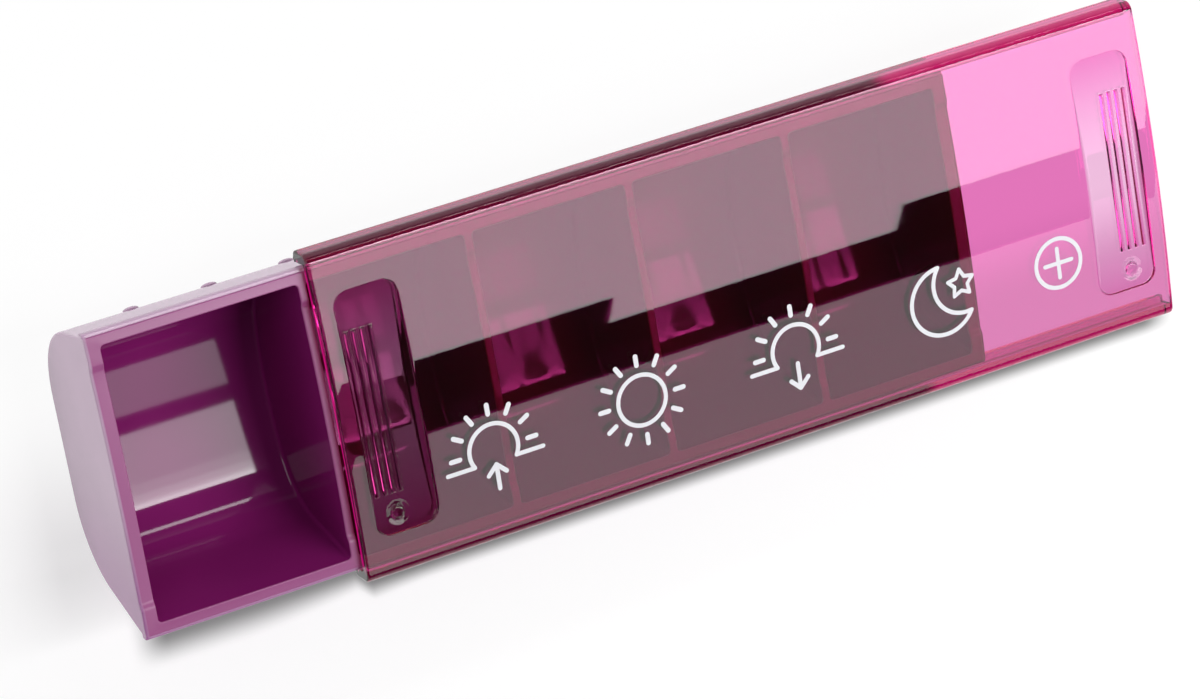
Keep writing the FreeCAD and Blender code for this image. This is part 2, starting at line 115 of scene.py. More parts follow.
class TrayProperties(bpy.types.PropertyGroup):
    """Sizes and finish of the tray."""
    crown_radius: length("Crown radius", "Radius of the crown, which the rims follow", 250.0)
    overall_height: length("Overall height", "From the underside to the crown's middle", 22.0)
    cover_and_gap: length("Cover and gap", "From the crown down to the tray's rims", 1.55)
    rim_width: length("Rim width", "From the flange's edge to a compartment", 2.0)
    ledge_width: length("Ledge width", "Width of the ledge outside the raised rim", 0.5)
    ledge_drop: length("Ledge drop", "How far the ledge lies under the rim", 0.3)
    flange_overhang: length("Flange overhang", "How far the flange stands out of the wall", 0.7)
    flange_thickness: length("Flange thickness", "Thickness of the flange", 1.3)
    end_wall_crest: length("End wall", "Thickness of an end wall at its crest", 2.1)
    divider_crest: length("Divider", "Thickness of a divider at its crest", 1.2)
    first_length: length("First compartment", "Length of the first compartment", 28.4)
    compartment_count: IntProperty(name="Compartments", description="Number of compartments",
                                   default=5, min=1)
    divider_draft: angle("Divider draft", "Lean of each face across the tray", 3.0)
    front_draft: angle("Front draft", "Lean of the front wall", 18.0)
    back_draft: angle("Back draft", "Lean of the back wall", 8.5)
    front_foot_radius: length("Front foot", "Outer rounding at the front wall's foot", 12.0)
    back_foot_radius: length("Back foot", "Outer rounding at the back wall's foot", 11.5)
    wall: length("Wall", "Thickness of the walls and of the floor's middle", 1.5)
    floor_radius: length("Floor radius", "Hollow of each compartment's floor across the tray", 46.0)
    floor_middle: length("Floor middle", "Distance of the floor's lowest line from the middle", 1.7)
    corner_radius: length("Corner radius", "Rounding from an end or a divider to the floor", 0.6)
    rim_rounding: length("Rim rounding", "Rounding of a rim's edge over a compartment", 0.18)
    corner_rim: length("Corner rim", "Length of the raised crest in from the flange's edge", 4.25)
    rim_step: length("Rim step", "Length of the step between high and low crest", 1.3)
    rim_step_drop: length("Step drop", "How far the crest's middle lies under its ends", 0.45)
    dot_count: IntProperty(name="Dots", description="Number of raised dots", default=3, min=0)
    first_dot: length("First dot", "From the tray's left end to the first raised dot", 11.1)
    dot_pitch: length("Dot pitch", "Distance between raised dots", 11.4)
    dot_radius: length("Dot radius", "Half the width of a raised dot", 1.15)
    dot_height: length("Dot height", "How far a raised dot stands out", 0.45)
    dot_angle: angle("Dot angle", "Place of the dots up the rounding of the back wall", 22.0)
    # Deep colour: the plastic's own colour with painted shade, darker inside the compartments.
    deep_colour_with_painted_shade: colour("Deep colour", "Colour inside the compartments", (0.22, 0.011, 0.135))
    rim_colour: colour("Rim colour", "Colour of the rims", (0.35, 0.08, 0.245))
    # Skin colour: the plastic's own colour made pale by a painted sheen on the back and end walls.
    skin_colour_with_painted_sheen: colour("Skin colour", "Colour of the back and end walls", (0.58, 0.38, 0.54))
    # Front colour: painted shade, so the outer skin is darker towards the front wall.
    front_colour_with_painted_shade: colour("Front colour", "Colour of the front wall", (0.40, 0.16, 0.36))
    roughness: share("Roughness", "Roughness of the tray's plastic", 0.07)
    rim_roughness: share("Rim roughness", "Roughness of the rims, where the cover rubs", 0.33)


class CoverProperties(bpy.types.PropertyGroup):
    """Sizes and finish of the sliding cover."""
    plate: length("Plate", "Thickness of the crowned plate", 1.4)
    side: length("Side", "Thickness of each side wall", 1.5)
    hook_thickness: length("Hook thickness", "Thickness of the inward hooks", 1.33)
    hook_reach: length("Hook reach", "How far the hooks stand in from the side walls", 0.85)
    hook_lead: length("Hook lead-in", "Corner taken off each hook at the left end", 0.8)
    top_rounding: length("Top rounding", "Rounding between plate and side", 1.3)
    lip_rounding: length("Lip rounding", "Rounding at the foot of the side", 0.9)
    inner_rounding: length("Inner rounding", "Rounding inside, between plate and side", 0.4)
    hook_rounding: length("Hook rounding", "Rounding under the hook's tip", 0.6)
    end_rounding: length("End rounding", "Rounding of the outer edges at both ends", 0.3)
    grip_near: length("Grip start", "From the cover's end to the grip", 2.4)
    grip_near_slope: length("Grip near slope", "Run of the grip's near slope", 0.7)
    grip_ramp: length("Grip ramp", "From the cover's end to the far slope's foot", 10.4)
    grip_far: length("Grip end", "From the cover's end to the ramp's top", 11.8)
    grip_depth: length("Grip depth", "From the crown's middle to the grip's level floor", 0.9)
    grip_half_width: length("Grip half width", "Half the grip's extent across the cover", 17.7)
    grip_side_slope: length("Grip side slope", "Run of the grip's side slopes", 0.6)
    grip_corner: length("Grip corner", "Corner radius of the grip's outline", 2.2)
    rib_count: IntProperty(name="Ribs", description="Number of ribs in a grip", default=4, min=0)
    first_rib: length("First rib", "From the cover's end to the first rib", 3.5)
    rib_pitch: length("Rib pitch", "Distance between ribs", 1.2)
    rib_width: length("Rib width", "Width of a rib", 0.5)
    rib_height: length("Rib height", "Height of a rib", 0.48)
    rib_half_length: length("Rib half length", "Half the length of a rib", 11.9)
    rib_softness: length("Rib softness", "Half the run of a rib's slopes", 0.09)
    stub_place: length("Stub place", "From the cover's end to the moulding stub", 6.0)
    stub_across: length("Stub across", "From the cover's middle to the moulding stub", 14.9)
    stub_radius: length("Stub radius", "Radius of the moulding stub", 0.95)
    stub_height: length("Stub height", "Height of the stub over the grip's floor", 0.2)
    dish_radius: length("Dish radius", "Radius of the dish round the stub", 1.7)
    dish_depth: length("Dish depth", "Depth of the dish", 0.2)
    tint: colour("Tint", "Light that the clear plastic lets through", (0.885, 0.0, 0.615))
    tint_density: FloatProperty(name="Tint density", description="Strength of the tint per metre",
                                default=1090.0, min=0.0)
    lamp_share: colour("Lamp light", "Share of a lamp's light that each face lets through",
                       (0.48, 0.28, 0.21))
    roughness: share("Roughness", "Roughness of the clear plastic", 0.015)
    # Painted glow: light that the cover's cut ends give off of their own.
    painted_edge_glow: colour("Edge glow", "Light that the plate carries to its ends", (0.62, 0.0, 0.2))
    ink: colour("Ink", "Colour of the printed signs", (0.86, 0.85, 0.9))


class StageProperties(bpy.types.PropertyGroup):
    """Floor, light and camera."""
    floor_size: FloatProperty(name="Floor size", description="Side of the floor", default=6.0,
                              unit="LENGTH")
    floor_colour: colour("Floor colour", "Colour of the floor", (0.93, 0.93, 0.935))
    paper_glow: share("Paper glow", "How much of the seen floor is plain white", 0.5)
    paper_shade: share("Paper shade", "How much of the seen floor shows light and shadow", 0.56)
    # The next four are painted shade on the floor: a painted shadow before the front edge, and
    # painted dark on the floor seen through the cover.
    contact_shade: share("Contact shade", "Dark of the floor by the tray, through the cover", 0.85)
    edge_shade: share("Edge shade", "Dark of the floor just in front of the front edge", 0.75)
    strip_shade: share("Strip shade", "Dark of the floor under the cover's front side", 0.55)
    front_shade: share("Front shade", "Dark of the floor in front, through the cover", 0.25)
    white_behind: share("White behind", "How plain white the seen floor is behind", 0.88)
    zenith: share("Zenith", "Brightness of the room overhead", 0.04)
    horizon: share("Horizon", "Brightness of the room near the horizon", 1.0)
    lens: FloatProperty(name="Lens", description="Focal length", default=151.65, min=1.0,
                        unit="CAMERA")


def smooth_step(value):
    """Smooth rise from 0 to 1 as the value does so."""
    value = min(max(value, 0.0), 1.0)
    return value * value * (3 - 2 * value)


def soft_min(a, b, blend):
    """The smaller of two values, rounded where they are about the same."""
    near = max(blend - abs(a - b), 0.0) / blend
    return min(a, b) - near * near * blend / 4


def spread(start, end, count):
    """Evenly spaced values from start to end, both included."""
    return [start + (end - start) * i / (count - 1) for i in range(count)]


def arc_points(centre, radius, start, end, segments):
    """Points on an arc in the cross-section, as (y, z)."""
    return [(centre[0] + radius * math.cos(a), centre[1] + radius * math.sin(a))
            for a in spread(start, end, segments + 1)]


class MeshDraft:
    """Vertices and faces of one piece while it is being built."""

    def __init__(self):
        self.points = []
        self.faces = []
        self.zones = []
        self.border = []

    def add(self, x, y, z, zone=ZONE_SKIN):
        self.points.append((x, y, z))
        self.zones.append(zone)
        return len(self.points) - 1

    def strip(self, first, second, closed=False):
        """Quads between two rows with as many vertices each."""
        last = len(first) if closed else len(first) - 1
        for i in range(last):
            j = (i + 1) % len(first)
            self.faces.append((first[i], first[j], second[j], second[i]))

    def piece(self, name, sharp_angle):
        """The finished object: doubles merged, faces outward, smooth but for its sharp edges."""
        mesh = bpy.data.meshes.new(name)
        mesh.from_pydata(self.points, [], self.faces)
        zone = mesh.attributes.new(ZONE_ATTRIBUTE, "FLOAT", "POINT")
        zone.data.foreach_set("value", self.zones)
        draft = bmesh.new()
        draft.from_mesh(mesh)
        bmesh.ops.remove_doubles(draft, verts=draft.verts, dist=SAME_PLACE / 2)
        bmesh.ops.recalc_face_normals(draft, faces=draft.faces)
        for face in draft.faces:
            face.smooth = len(face.verts) <= 4
        for edge in draft.edges:
            edge.smooth = len(edge.link_faces) == 2 and edge.calc_face_angle() < sharp_angle
        draft.to_mesh(mesh)
        draft.free()
        made = bpy.data.objects.new(name, mesh)
        bpy.context.scene.collection.objects.link(made)
        return made


def supported(points, limit):
    """The same row of points with one more near both ends of each long step, to keep it flat."""
    run = 0.06 * MM
    kept = []
    for i, point in enumerate(points):
        kept.append(point)
        after = points[(i + 1) % len(points)]
        step = math.hypot(after[0] - point[0], after[1] - point[1])
        if i < len(points) - 1 and step > limit:
            for part in (run / step, 1 - run / step):
                y = point[0] + (after[0] - point[0]) * part
                z = point[1] + (after[1] - point[1]) * part
                kept.append((y, z) + tuple(point[2:]))
    return kept


class TrayShape:
    """Heights, places and cross-sections of the tray, worked out from its sizes and the frame."""

    def __init__(self, sizes):
        self.sizes = sizes
        self.left, self.right = TRAY_LOW.x, TRAY_HIGH.x
        self.half_width = TRAY_HIGH.y
        self.rim_radius = sizes.crown_radius - sizes.cover_and_gap
        self.band_half = self.half_width - sizes.ledge_width
        self.border_half = self.band_half - RIM_EDGE
        self.wall_half = self.half_width - sizes.flange_overhang
        self.inner_half = self.half_width - sizes.rim_width
        self.rim_height = self.crown(self.band_half)
        self.ledge_height = self.rim_height - sizes.ledge_drop
        self.flange_foot = self.ledge_height - sizes.flange_thickness
        self.step_outside = self.half_width - sizes.corner_rim
        self.step_inside = self.step_outside - sizes.rim_step
        self.floor_centre = Vector((sizes.floor_middle, sizes.wall + sizes.floor_radius))

    def crown(self, y):
        """Height of the crown that the rims follow."""
        return self.sizes.overall_height - self.sizes.crown_radius + math.sqrt(
            self.rim_radius ** 2 - y ** 2)

    def crest(self, y):
        """Height of the rims at y, with the soft step down to their middle."""
        outside = smooth_step((abs(y) - self.step_inside) / (self.step_outside - self.step_inside))
        return self.crown(y) - self.sizes.rim_step_drop * (1 - outside)

    def lean(self, z):
        """How far a face across the tray stands in at a height."""
        return (self.rim_height - z) * math.tan(self.sizes.divider_draft)

    def zone(self, z):
        """Zone of the outside at a height: the rims' crest, or the skin of walls and flanges."""
        return ZONE_RIM if z > self.ledge_height + self.sizes.ledge_drop / 2 else ZONE_SKIN

    def compartments(self):
        """Start and end of each compartment at the height of the rims."""
        sizes = self.sizes
        start, size = self.left + sizes.end_wall_crest, sizes.first_length
        later = sizes.compartment_count - 1
        rest = (self.right - sizes.end_wall_crest - start - size
                - later * sizes.divider_crest) / max(later, 1)
        places = []
        for _ in range(sizes.compartment_count):
            places.append((start, start + size))
            start += size + sizes.divider_crest
            size = rest
        return places

    def foot_arc(self, side, radius, draft):
        """Rounding between a wall and the hollow floor, and the places where it meets them."""
        inward = Vector((-side * math.cos(draft), math.sin(draft)))
        start = Vector((side * self.inner_half, self.rim_height)) + inward * radius
        down = Vector((-side * math.tan(draft), -1))
        gap = start - self.floor_centre
        a = down.length_squared
        b = 2 * gap.dot(down)
        c = gap.length_squared - (self.sizes.floor_radius - radius) ** 2
        centre = start + down * ((-b + math.sqrt(b * b - 4 * a * c)) / (2 * a))
        away = centre - self.floor_centre
        to_wall = math.atan2(-inward.y, -inward.x) + FULL_TURN
        to_floor = math.atan2(away.y, away.x) + FULL_TURN
        return centre, to_wall, to_floor

    def wall_line(self, side, top, foot, draft):
        """The straight part of a compartment's wall, from the rim down."""
        wall_steps = 7
        return [(side * (self.inner_half - (self.rim_height - z) * math.tan(draft)), z)
                for z in spread(top, foot, wall_steps)[:-1]]

    def inner_profile(self):
        """Cross-section of a compartment from the front rim down and up to the back rim."""
        sizes = self.sizes
        foot_segments, floor_segments = 18, 16
        front_radius = sizes.front_foot_radius - sizes.wall
        back_radius = sizes.back_foot_radius - sizes.wall
        front, front_wall, front_floor = self.foot_arc(-1, front_radius, sizes.front_draft)
        back, back_wall, back_floor = self.foot_arc(1, back_radius, sizes.back_draft)
        front_arc = arc_points(front, front_radius, front_wall, front_floor, foot_segments)
        floor_arc = arc_points(self.floor_centre, sizes.floor_radius, front_floor, back_floor,
                               floor_segments)
        back_arc = arc_points(back, back_radius, back_floor, back_wall, foot_segments)
        top = self.crest(self.inner_half) - sizes.rim_rounding
        front_line = self.wall_line(-1, top, front_arc[0][1], sizes.front_draft)
        back_line = self.wall_line(1, top, back_arc[-1][1], sizes.back_draft)
        return front_line + front_arc + floor_arc[1:-1] + back_arc + back_line[::-1]

    def outer_profile(self):
        """Cross-section outside, from the back rim's edge down, under the floor and up in front."""
        back = self.outer_side(1, self.sizes.back_foot_radius, self.sizes.back_draft)
        front = self.outer_side(-1, self.sizes.front_foot_radius, self.sizes.front_draft)
        return supported(back + front[::-1], 0.9 * MM)

    def outer_side(self, side, foot_radius, draft):
        """One side of the cross-section outside, from the rim's edge to where the floor is flat."""
        bead, nook = 0.25 * MM, 0.08 * MM
        fine, coarse = 4, 18
        level, down, up = 0.0, -QUARTER_TURN, QUARTER_TURN
        points = arc_points((self.border_half, self.crest(self.border_half) - RIM_EDGE), RIM_EDGE,
                            up, level, fine)
        points += arc_points((self.band_half + nook, self.ledge_height + nook), nook,
                             math.pi, math.pi + up, fine)
        points += arc_points((self.half_width - bead, self.ledge_height - bead), bead,
                             up, level, fine)
        points += arc_points((self.half_width - bead, self.flange_foot + bead), bead,
                             level, down, fine)
        points += arc_points((self.wall_half + nook, self.flange_foot - nook), nook,
                             up, math.pi - draft, fine)
        points += arc_points((self.flat_end(foot_radius, draft), foot_radius), foot_radius,
                             -draft, down, coarse)
        return [(side * y, z) for y, z in points]

    def flat_end(self, foot_radius, draft):
        """Where the flat underside ends and the rounding up to a wall starts."""
        foot = self.wall_half - self.flange_foot * math.tan(draft)
        return foot - foot_radius * math.tan((QUARTER_TURN - draft) / 2)


def profile_normals(points, closed=False):
    """Unit normals of a cross-section, to the right of its direction of travel."""
    normals = []
    count = len(points)
    for i in range(count):
        before = points[(i - 1) % count] if closed or i > 0 else points[i]
        after = points[(i + 1) % count] if closed or i < count - 1 else points[i]
        along = Vector((after[0] - before[0], after[1] - before[1])).normalized()
        normals.append(Vector((along.y, -along.x)))
    return normals


def build_compartment(draft, shape, x_start, x_end, cell):
    """One compartment's inside and the rims round it, out to the middle of its dividers."""
    rounding = shape.sizes.rim_rounding
    profile = shape.inner_profile()
    columns = corner_columns(shape, profile)
    grid = [[draft.add(x_start + shape.lean(z) + along, y, z, ZONE_DEEP)
             for along, y, z in column] for column in columns]
    middle_count = 9
    for part in spread(0, 1, middle_count)[1:-1]:
        row = []
        for along, y, z in columns[-1]:
            low = x_start + shape.lean(z) + along
            high = x_end - shape.lean(z) - along
            row.append(draft.add(low + (high - low) * part, y, z, ZONE_DEEP))
        grid.append(row)
    grid += [[draft.add(x_end - shape.lean(z) - along, y, z, ZONE_DEEP)
              for along, y, z in column] for column in reversed(columns)]
    for first, second in zip(grid, grid[1:]):
        draft.strip(first, second)
    crests = []
    for x_edge, side in ((x_start, 1), (x_end, -1)):
        crests.append([draft.add(x_edge + side * shape.lean(shape.crest(y) - rounding), y,
                                 shape.crest(y) - rounding, ZONE_DEEP)
                       for y in crest_places(shape, abs(columns[0][0][1]))[1:-1]])
    draft.faces.append(tuple(grid[0] + crests[0][::-1]))
    draft.faces.append(tuple(grid[-1][::-1] + crests[1]))
    rim_rows(draft, shape, rim_ring(draft, shape, grid, crests, cell))


def corner_columns(shape, profile):
    """The rounded corner between a face across the tray and the floor and walls.

    Each column is the whole cross-section at one step of the rounding, as (distance along, y, z).
    """
    fillet = shape.sizes.corner_radius
    inward = [normal * -1 for normal in profile_normals(profile)]
    columns = []
    for turn in [QUARTER_TURN * i / (CORNER_ROWS - 1) for i in range(CORNER_ROWS)]:
        column = []
        for (y, z), normal in zip(profile, inward):
            point_y = y + normal.x * fillet * (1 - math.sin(turn))
            point_z = z + normal.y * fillet * (1 - math.sin(turn))
            column.append((fillet * (1 - math.cos(turn)), point_y, point_z))
        for index in (0, -1):
            along, y, _ = column[index]
            column[index] = (along, y, shape.crest(y) - shape.sizes.rim_rounding)
        columns.append(column)
    return columns


def crest_places(shape, half):
    """Places across the tray where a rim's crest has vertices, close together on its steps."""
    flat_count, step_count = 9, 9
    inside = spread(0, shape.step_inside, flat_count)
    step = spread(shape.step_inside, shape.step_outside, step_count)[1:]
    end = spread(shape.step_outside, half, 3)[1:]
    positive = inside + step + end
    return [-y for y in reversed(positive[1:])] + positive


def rim_ring(draft, shape, grid, crests, cell):
    """Each vertex of a compartment's top edge, its way out and its place on the cell's border."""
    last = CORNER_ROWS - 1
    count = len(grid)

    def border_corner(index, side, x_border):
        """Where a corner's vertex meets the border: along X, at its corner, along Y."""
        at_corner = 2
        part = index / (2 * at_corner)
        if index > at_corner:
            part = 0.5 + (index - at_corner) / (2 * (last - at_corner))
        base = grid[last] if x_border == cell[0] else grid[-CORNER_ROWS]
        x_centre = draft.points[base[0]][0]
        y_centre = abs(draft.points[grid[0][0]][1]) * side
        y_border = side * shape.border_half
        if part >= 0.5:
            return (x_border + (x_centre - x_border) * (2 * part - 1), y_border)
        return (x_border, y_centre + (y_border - y_centre) * 2 * part)

    def long_side(side):
        """The front or the back edge with its two corners, from start to end."""
        made = []
        for index, column in enumerate(grid):
            vertex = column[0 if side < 0 else -1]
            from_end = min(index, count - 1 - index)
            if from_end < last:
                turn = QUARTER_TURN * from_end / last
                toward, x_border = (-1, cell[0]) if index < last else (1, cell[1])
                made.append((vertex, (toward * math.cos(turn), side * math.sin(turn)),
                             border_corner(from_end, side, x_border)))
            else:
                made.append((vertex, (0, side),
                             (draft.points[vertex][0], side * shape.border_half)))
        return made

    ring = long_side(-1)
    ring += [(vertex, (1, 0), (cell[1], draft.points[vertex][1])) for vertex in crests[1]]
    ring += long_side(1)[::-1]
    ring += [(vertex, (-1, 0), (cell[0], draft.points[vertex][1])) for vertex in crests[0][::-1]]
    return ring


def rim_rows(draft, shape, ring):
    """The rounded edge over a compartment, and the crest from there to the cell's border."""
    rounding = shape.sizes.rim_rounding
    row = [vertex for vertex, _, _ in ring]
    ways = [way for _, way, _ in ring]
    steps = 4
    for step in range(1, steps + 1):
        turn = QUARTER_TURN * step / steps
        out = rounding * (1 - math.cos(turn))
        below = rounding * (1 - math.sin(turn))
        new_row = []
        for (vertex, _, _), (dx, dy) in zip(ring, ways):
            x, y, _ = draft.points[vertex]
            new_row.append(draft.add(x + dx * out, y + dy * out, shape.crest(y) - below,
                                     ZONE_RIM))
        draft.strip(row, new_row, closed=True)
        row = new_row
    inner = []
    for vertex, (dx, dy) in zip(row, ways):
        x, y, _ = draft.points[vertex]
        x, y = x + dx * rounding / 3, y + dy * rounding / 3
        inner.append(draft.add(x, y, shape.crest(y), ZONE_RIM))
    border = [draft.add(x, y, shape.crest(y), ZONE_RIM) for _, _, (x, y) in ring]
    draft.strip(row, inner, closed=True)
    draft.strip(inner, border, closed=True)
    draft.border += border


def build_tray(sizes):
    """The tray's shell: compartments, rims, flanges, walls and rounded ends."""
    shape = TrayShape(sizes)
    draft = MeshDraft()
    places = shape.compartments()
    for index, (x_start, x_end) in enumerate(places):
        cell_start = x_start - sizes.divider_crest / 2 if index else shape.left + END_RUN
        cell_end = x_end + sizes.divider_crest / 2
        if index == len(places) - 1:
            cell_end = shape.right - END_RUN
        build_compartment(draft, shape, x_start, x_end, (cell_start, cell_end))
    stations, across = [], []
    for vertex in draft.border:
        x, y, _ = draft.points[vertex]
        if abs(y - shape.border_half) < SAME_PLACE:
            stations.append(x)
        at_left = abs(x - shape.left - END_RUN) < SAME_PLACE
        if at_left and abs(y) < shape.border_half - SAME_PLACE:
            across.append(y)
    outer = shape.outer_profile()
    rows = [[draft.add(x, y, z, shape.zone(z)) for y, z in outer] for x in merged(stations)]
    for first, second in zip(rows, rows[1:]):
        draft.strip(first, second)
    loop = outer + [(y, shape.crest(y)) for y in merged(across)]
    for x_end, side in ((shape.left, -1), (shape.right, 1)):
        close_end(draft, shape, loop, x_end, side)
    return draft.piece("tray_shell", math.radians(40))


def close_end(draft, shape, loop, x_end, side):
    """A rounded end of the tray, from the last cross-section to a flat face."""
    normals = profile_normals(loop, closed=True)
    outward = 1 if normals[0].y > 0 else -1
    row = [draft.add(x_end - side * END_RUN, y, z, shape.zone(z)) for y, z in loop]
    steps = 5
    for step in range(1, steps + 1):
        turn = QUARTER_TURN * step / steps
        new_row = []
        for (y, z), normal in zip(loop, normals):
            radius = end_radius(shape, y, z)
            inset = normal * (-outward * radius * (1 - math.cos(turn)))
            x = x_end - side * radius * (1 - math.sin(turn))
            new_row.append(draft.add(x, y + inset.x, z + inset.y))
        draft.strip(row, new_row, closed=True)
        row = new_row
    draft.faces.append(tuple(row))


def end_radius(shape, y, z):
    """Rounding at the tray's ends: small on the flange, larger on the walls and under the floor."""
    flange, rim = 0.12 * MM, 0.25 * MM
    under_flange, inside_band = 0.3 * MM, 0.6 * MM
    if z < shape.flange_foot - under_flange:
        return END_RUN
    return flange if abs(y) > shape.band_half - inside_band else rim


def merged(values):
    """Sorted values, with those that are about the same taken once."""
    kept = []
    for value in sorted(values):
        if not kept or value - kept[-1] > SAME_PLACE:
            kept.append(value)
    return kept


def grip_depth(sizes, u, y, crown_drop):
    """Depth of a grip under the crown, u from the cover's end and y across it."""
    if not sizes.grip_near < u < sizes.grip_far or abs(y) > sizes.grip_half_width:
        return 0.0
    blend = 0.10 * MM
    half_u = (sizes.grip_far - sizes.grip_near) / 2
    corner = sizes.grip_corner
    du = abs(u - sizes.grip_near - half_u) - (half_u - corner)
    dy = abs(y) - (sizes.grip_half_width - corner)
    outside = math.hypot(max(du, 0.0), max(dy, 0.0)) + min(max(du, dy), 0.0)
    inside = corner - outside
    slopes = (inside * sizes.grip_depth / sizes.grip_side_slope,
              (u - sizes.grip_near) * sizes.grip_depth / sizes.grip_near_slope,
              (sizes.grip_far - u) * sizes.grip_depth / (sizes.grip_far - sizes.grip_ramp))
    lip_depth, lip_run = 0.28 * MM, 0.09 * MM
    lip = lip_depth * smooth_step(inside / lip_run)
    depth = sizes.grip_depth - crown_drop
    for slope in slopes:
        depth = soft_min(depth, slope + lip, blend)
    return max(depth, 0.0) + stub_depth(sizes, u, y)


def stub_depth(sizes, u, y):
    """What the dish and the stub in it add to the grip's depth."""
    away = math.hypot(u - sizes.stub_place, y + sizes.stub_across)
    if away > sizes.dish_radius:
        return 0.0
    dish = sizes.dish_depth * (1 - (away / sizes.dish_radius) ** 2)
    edge = 0.12 * MM
    on_stub = 1 - smooth_step((away - sizes.stub_radius + edge) / (2 * edge))
    return dish * (1 - on_stub) - sizes.stub_height * on_stub


class CoverSection:
    """Cross-section of the cover, as a closed loop with the rounding each point has at the ends."""

    def __init__(self, sizes, tray):
        self.sizes = sizes
        self.crown_radius = tray.crown_radius
        self.height = COVER_HIGH.z
        self.half = COVER_HIGH.y
        self.lip = COVER_LOW.z
        self.inner_half = self.half - sizes.side
        self.tip = self.inner_half - sizes.hook_reach
        self.hook_top = self.lip + sizes.hook_thickness

    def crown(self, y, depth=0.0):
        """Height at y of the crown, or of the surface at a depth under it."""
        return self.height - self.crown_radius + math.sqrt((self.crown_radius - depth) ** 2 - y * y)

    def top_places(self):
        """Places across the plate, close together where the grips need it."""
        sizes = self.sizes
        corner_start = sizes.stub_across - sizes.dish_radius - 0.2 * MM
        corner_end = sizes.grip_half_width - 0.5 * MM
        edge_end = sizes.grip_half_width + 0.1 * MM
        places = spread(0, sizes.rib_half_length - 0.6 * MM, 22)
        places += spread(sizes.rib_half_length - 0.4 * MM, sizes.rib_half_length + 0.4 * MM, 9)
        step = 0.15 * MM
        places += spread(corner_start, corner_end, int((corner_end - corner_start) / step))
        places += spread(corner_end, edge_end, 11)[1:]
        places += spread(edge_end, self.half - sizes.top_rounding, 11)[1:]
        return [-y for y in reversed(places[1:])] + places

    def points(self):
        """(y, z, rounding at the ends, is it on top, does it belong to a hook's tip)."""
        sizes = self.sizes
        loop = [(y, self.crown(y), sizes.end_rounding, True, False) for y in self.top_places()]
        side = supported(self.side_points(), 0.3 * MM)
        right = [(y, z, end, False, tip) for y, z, end, tip in side]
        left = [(-y, z, end, False, tip) for y, z, end, tip in reversed(side)]
        under_count = 45
        under_half = self.inner_half - sizes.inner_rounding - 0.3 * MM
        under = [(y, self.crown(y, sizes.plate), INNER_END_ROUNDING, False, False)
                 for y in spread(under_half, -under_half, under_count)]
        return loop + right + under + left

    def side_points(self):
        """The right side from the plate's top round the hook to the plate's underside."""
        sizes = self.sizes
        level, down, up = 0.0, -QUARTER_TURN, QUARTER_TURN
        top, lip, foot = sizes.top_rounding, sizes.lip_rounding, sizes.hook_rounding
        inner, nook = sizes.inner_rounding, 0.08 * MM
        edge_y = self.half - top
        tilt = math.asin(edge_y / self.crown_radius)
        centre = (edge_y - math.sin(tilt) * top, self.crown(edge_y) - math.cos(tilt) * top)
        corner = arc_points(centre, top, up - tilt, level, 8)[1:]
        shift = self.half - (centre[0] + top)
        made = [(y + shift * i / len(corner), z, sizes.end_rounding, False)
                for i, (y, z) in enumerate(corner, 1)]

        def rounded(centre, radius, start, end, segments, at_end=INNER_END_ROUNDING, tip=False):
            return [(y, z, at_end, tip)
                    for y, z in arc_points(centre, radius, start, end, segments)]

        made += rounded((self.half - lip, self.lip + lip), lip, level, down, 6,
                        at_end=sizes.end_rounding)
        made += rounded((self.tip + foot, self.lip + foot), foot, down, down - QUARTER_TURN, 5,
                        tip=True)
        made += rounded((self.tip + nook, self.hook_top - nook), nook, math.pi, up, 3, tip=True)
        made += rounded((self.inner_half - nook, self.hook_top + nook), nook, down, level, 3)
        inner_centre = (self.inner_half - inner, self.crown(self.inner_half, sizes.plate) - inner)
        return made + rounded(inner_centre, inner, level, up, 5)


def cover_stations(sizes, length_x):
    """Distances from the left end where the cover has a cross-section."""
    rib_count, ramp_count, edge_count, middle_count = 92, 24, 5, 14
    far = sizes.grip_far
    rib_zone = sizes.first_rib + sizes.rib_count * sizes.rib_pitch
    fine = spread(sizes.grip_near - 0.1 * MM, rib_zone, rib_count)
    ramp = spread(rib_zone, far - 0.3 * MM, ramp_count)[1:]
    edge = spread(far - 0.2 * MM, far + 0.04 * MM, edge_count)
    near_end = [sizes.end_rounding, 1.2 * MM] + fine + ramp + edge + [far + 0.25 * MM]
    middle = spread(near_end[-1], length_x - near_end[-1], middle_count)[1:-1]
    return near_end + middle + [length_x - u for u in reversed(near_end)]


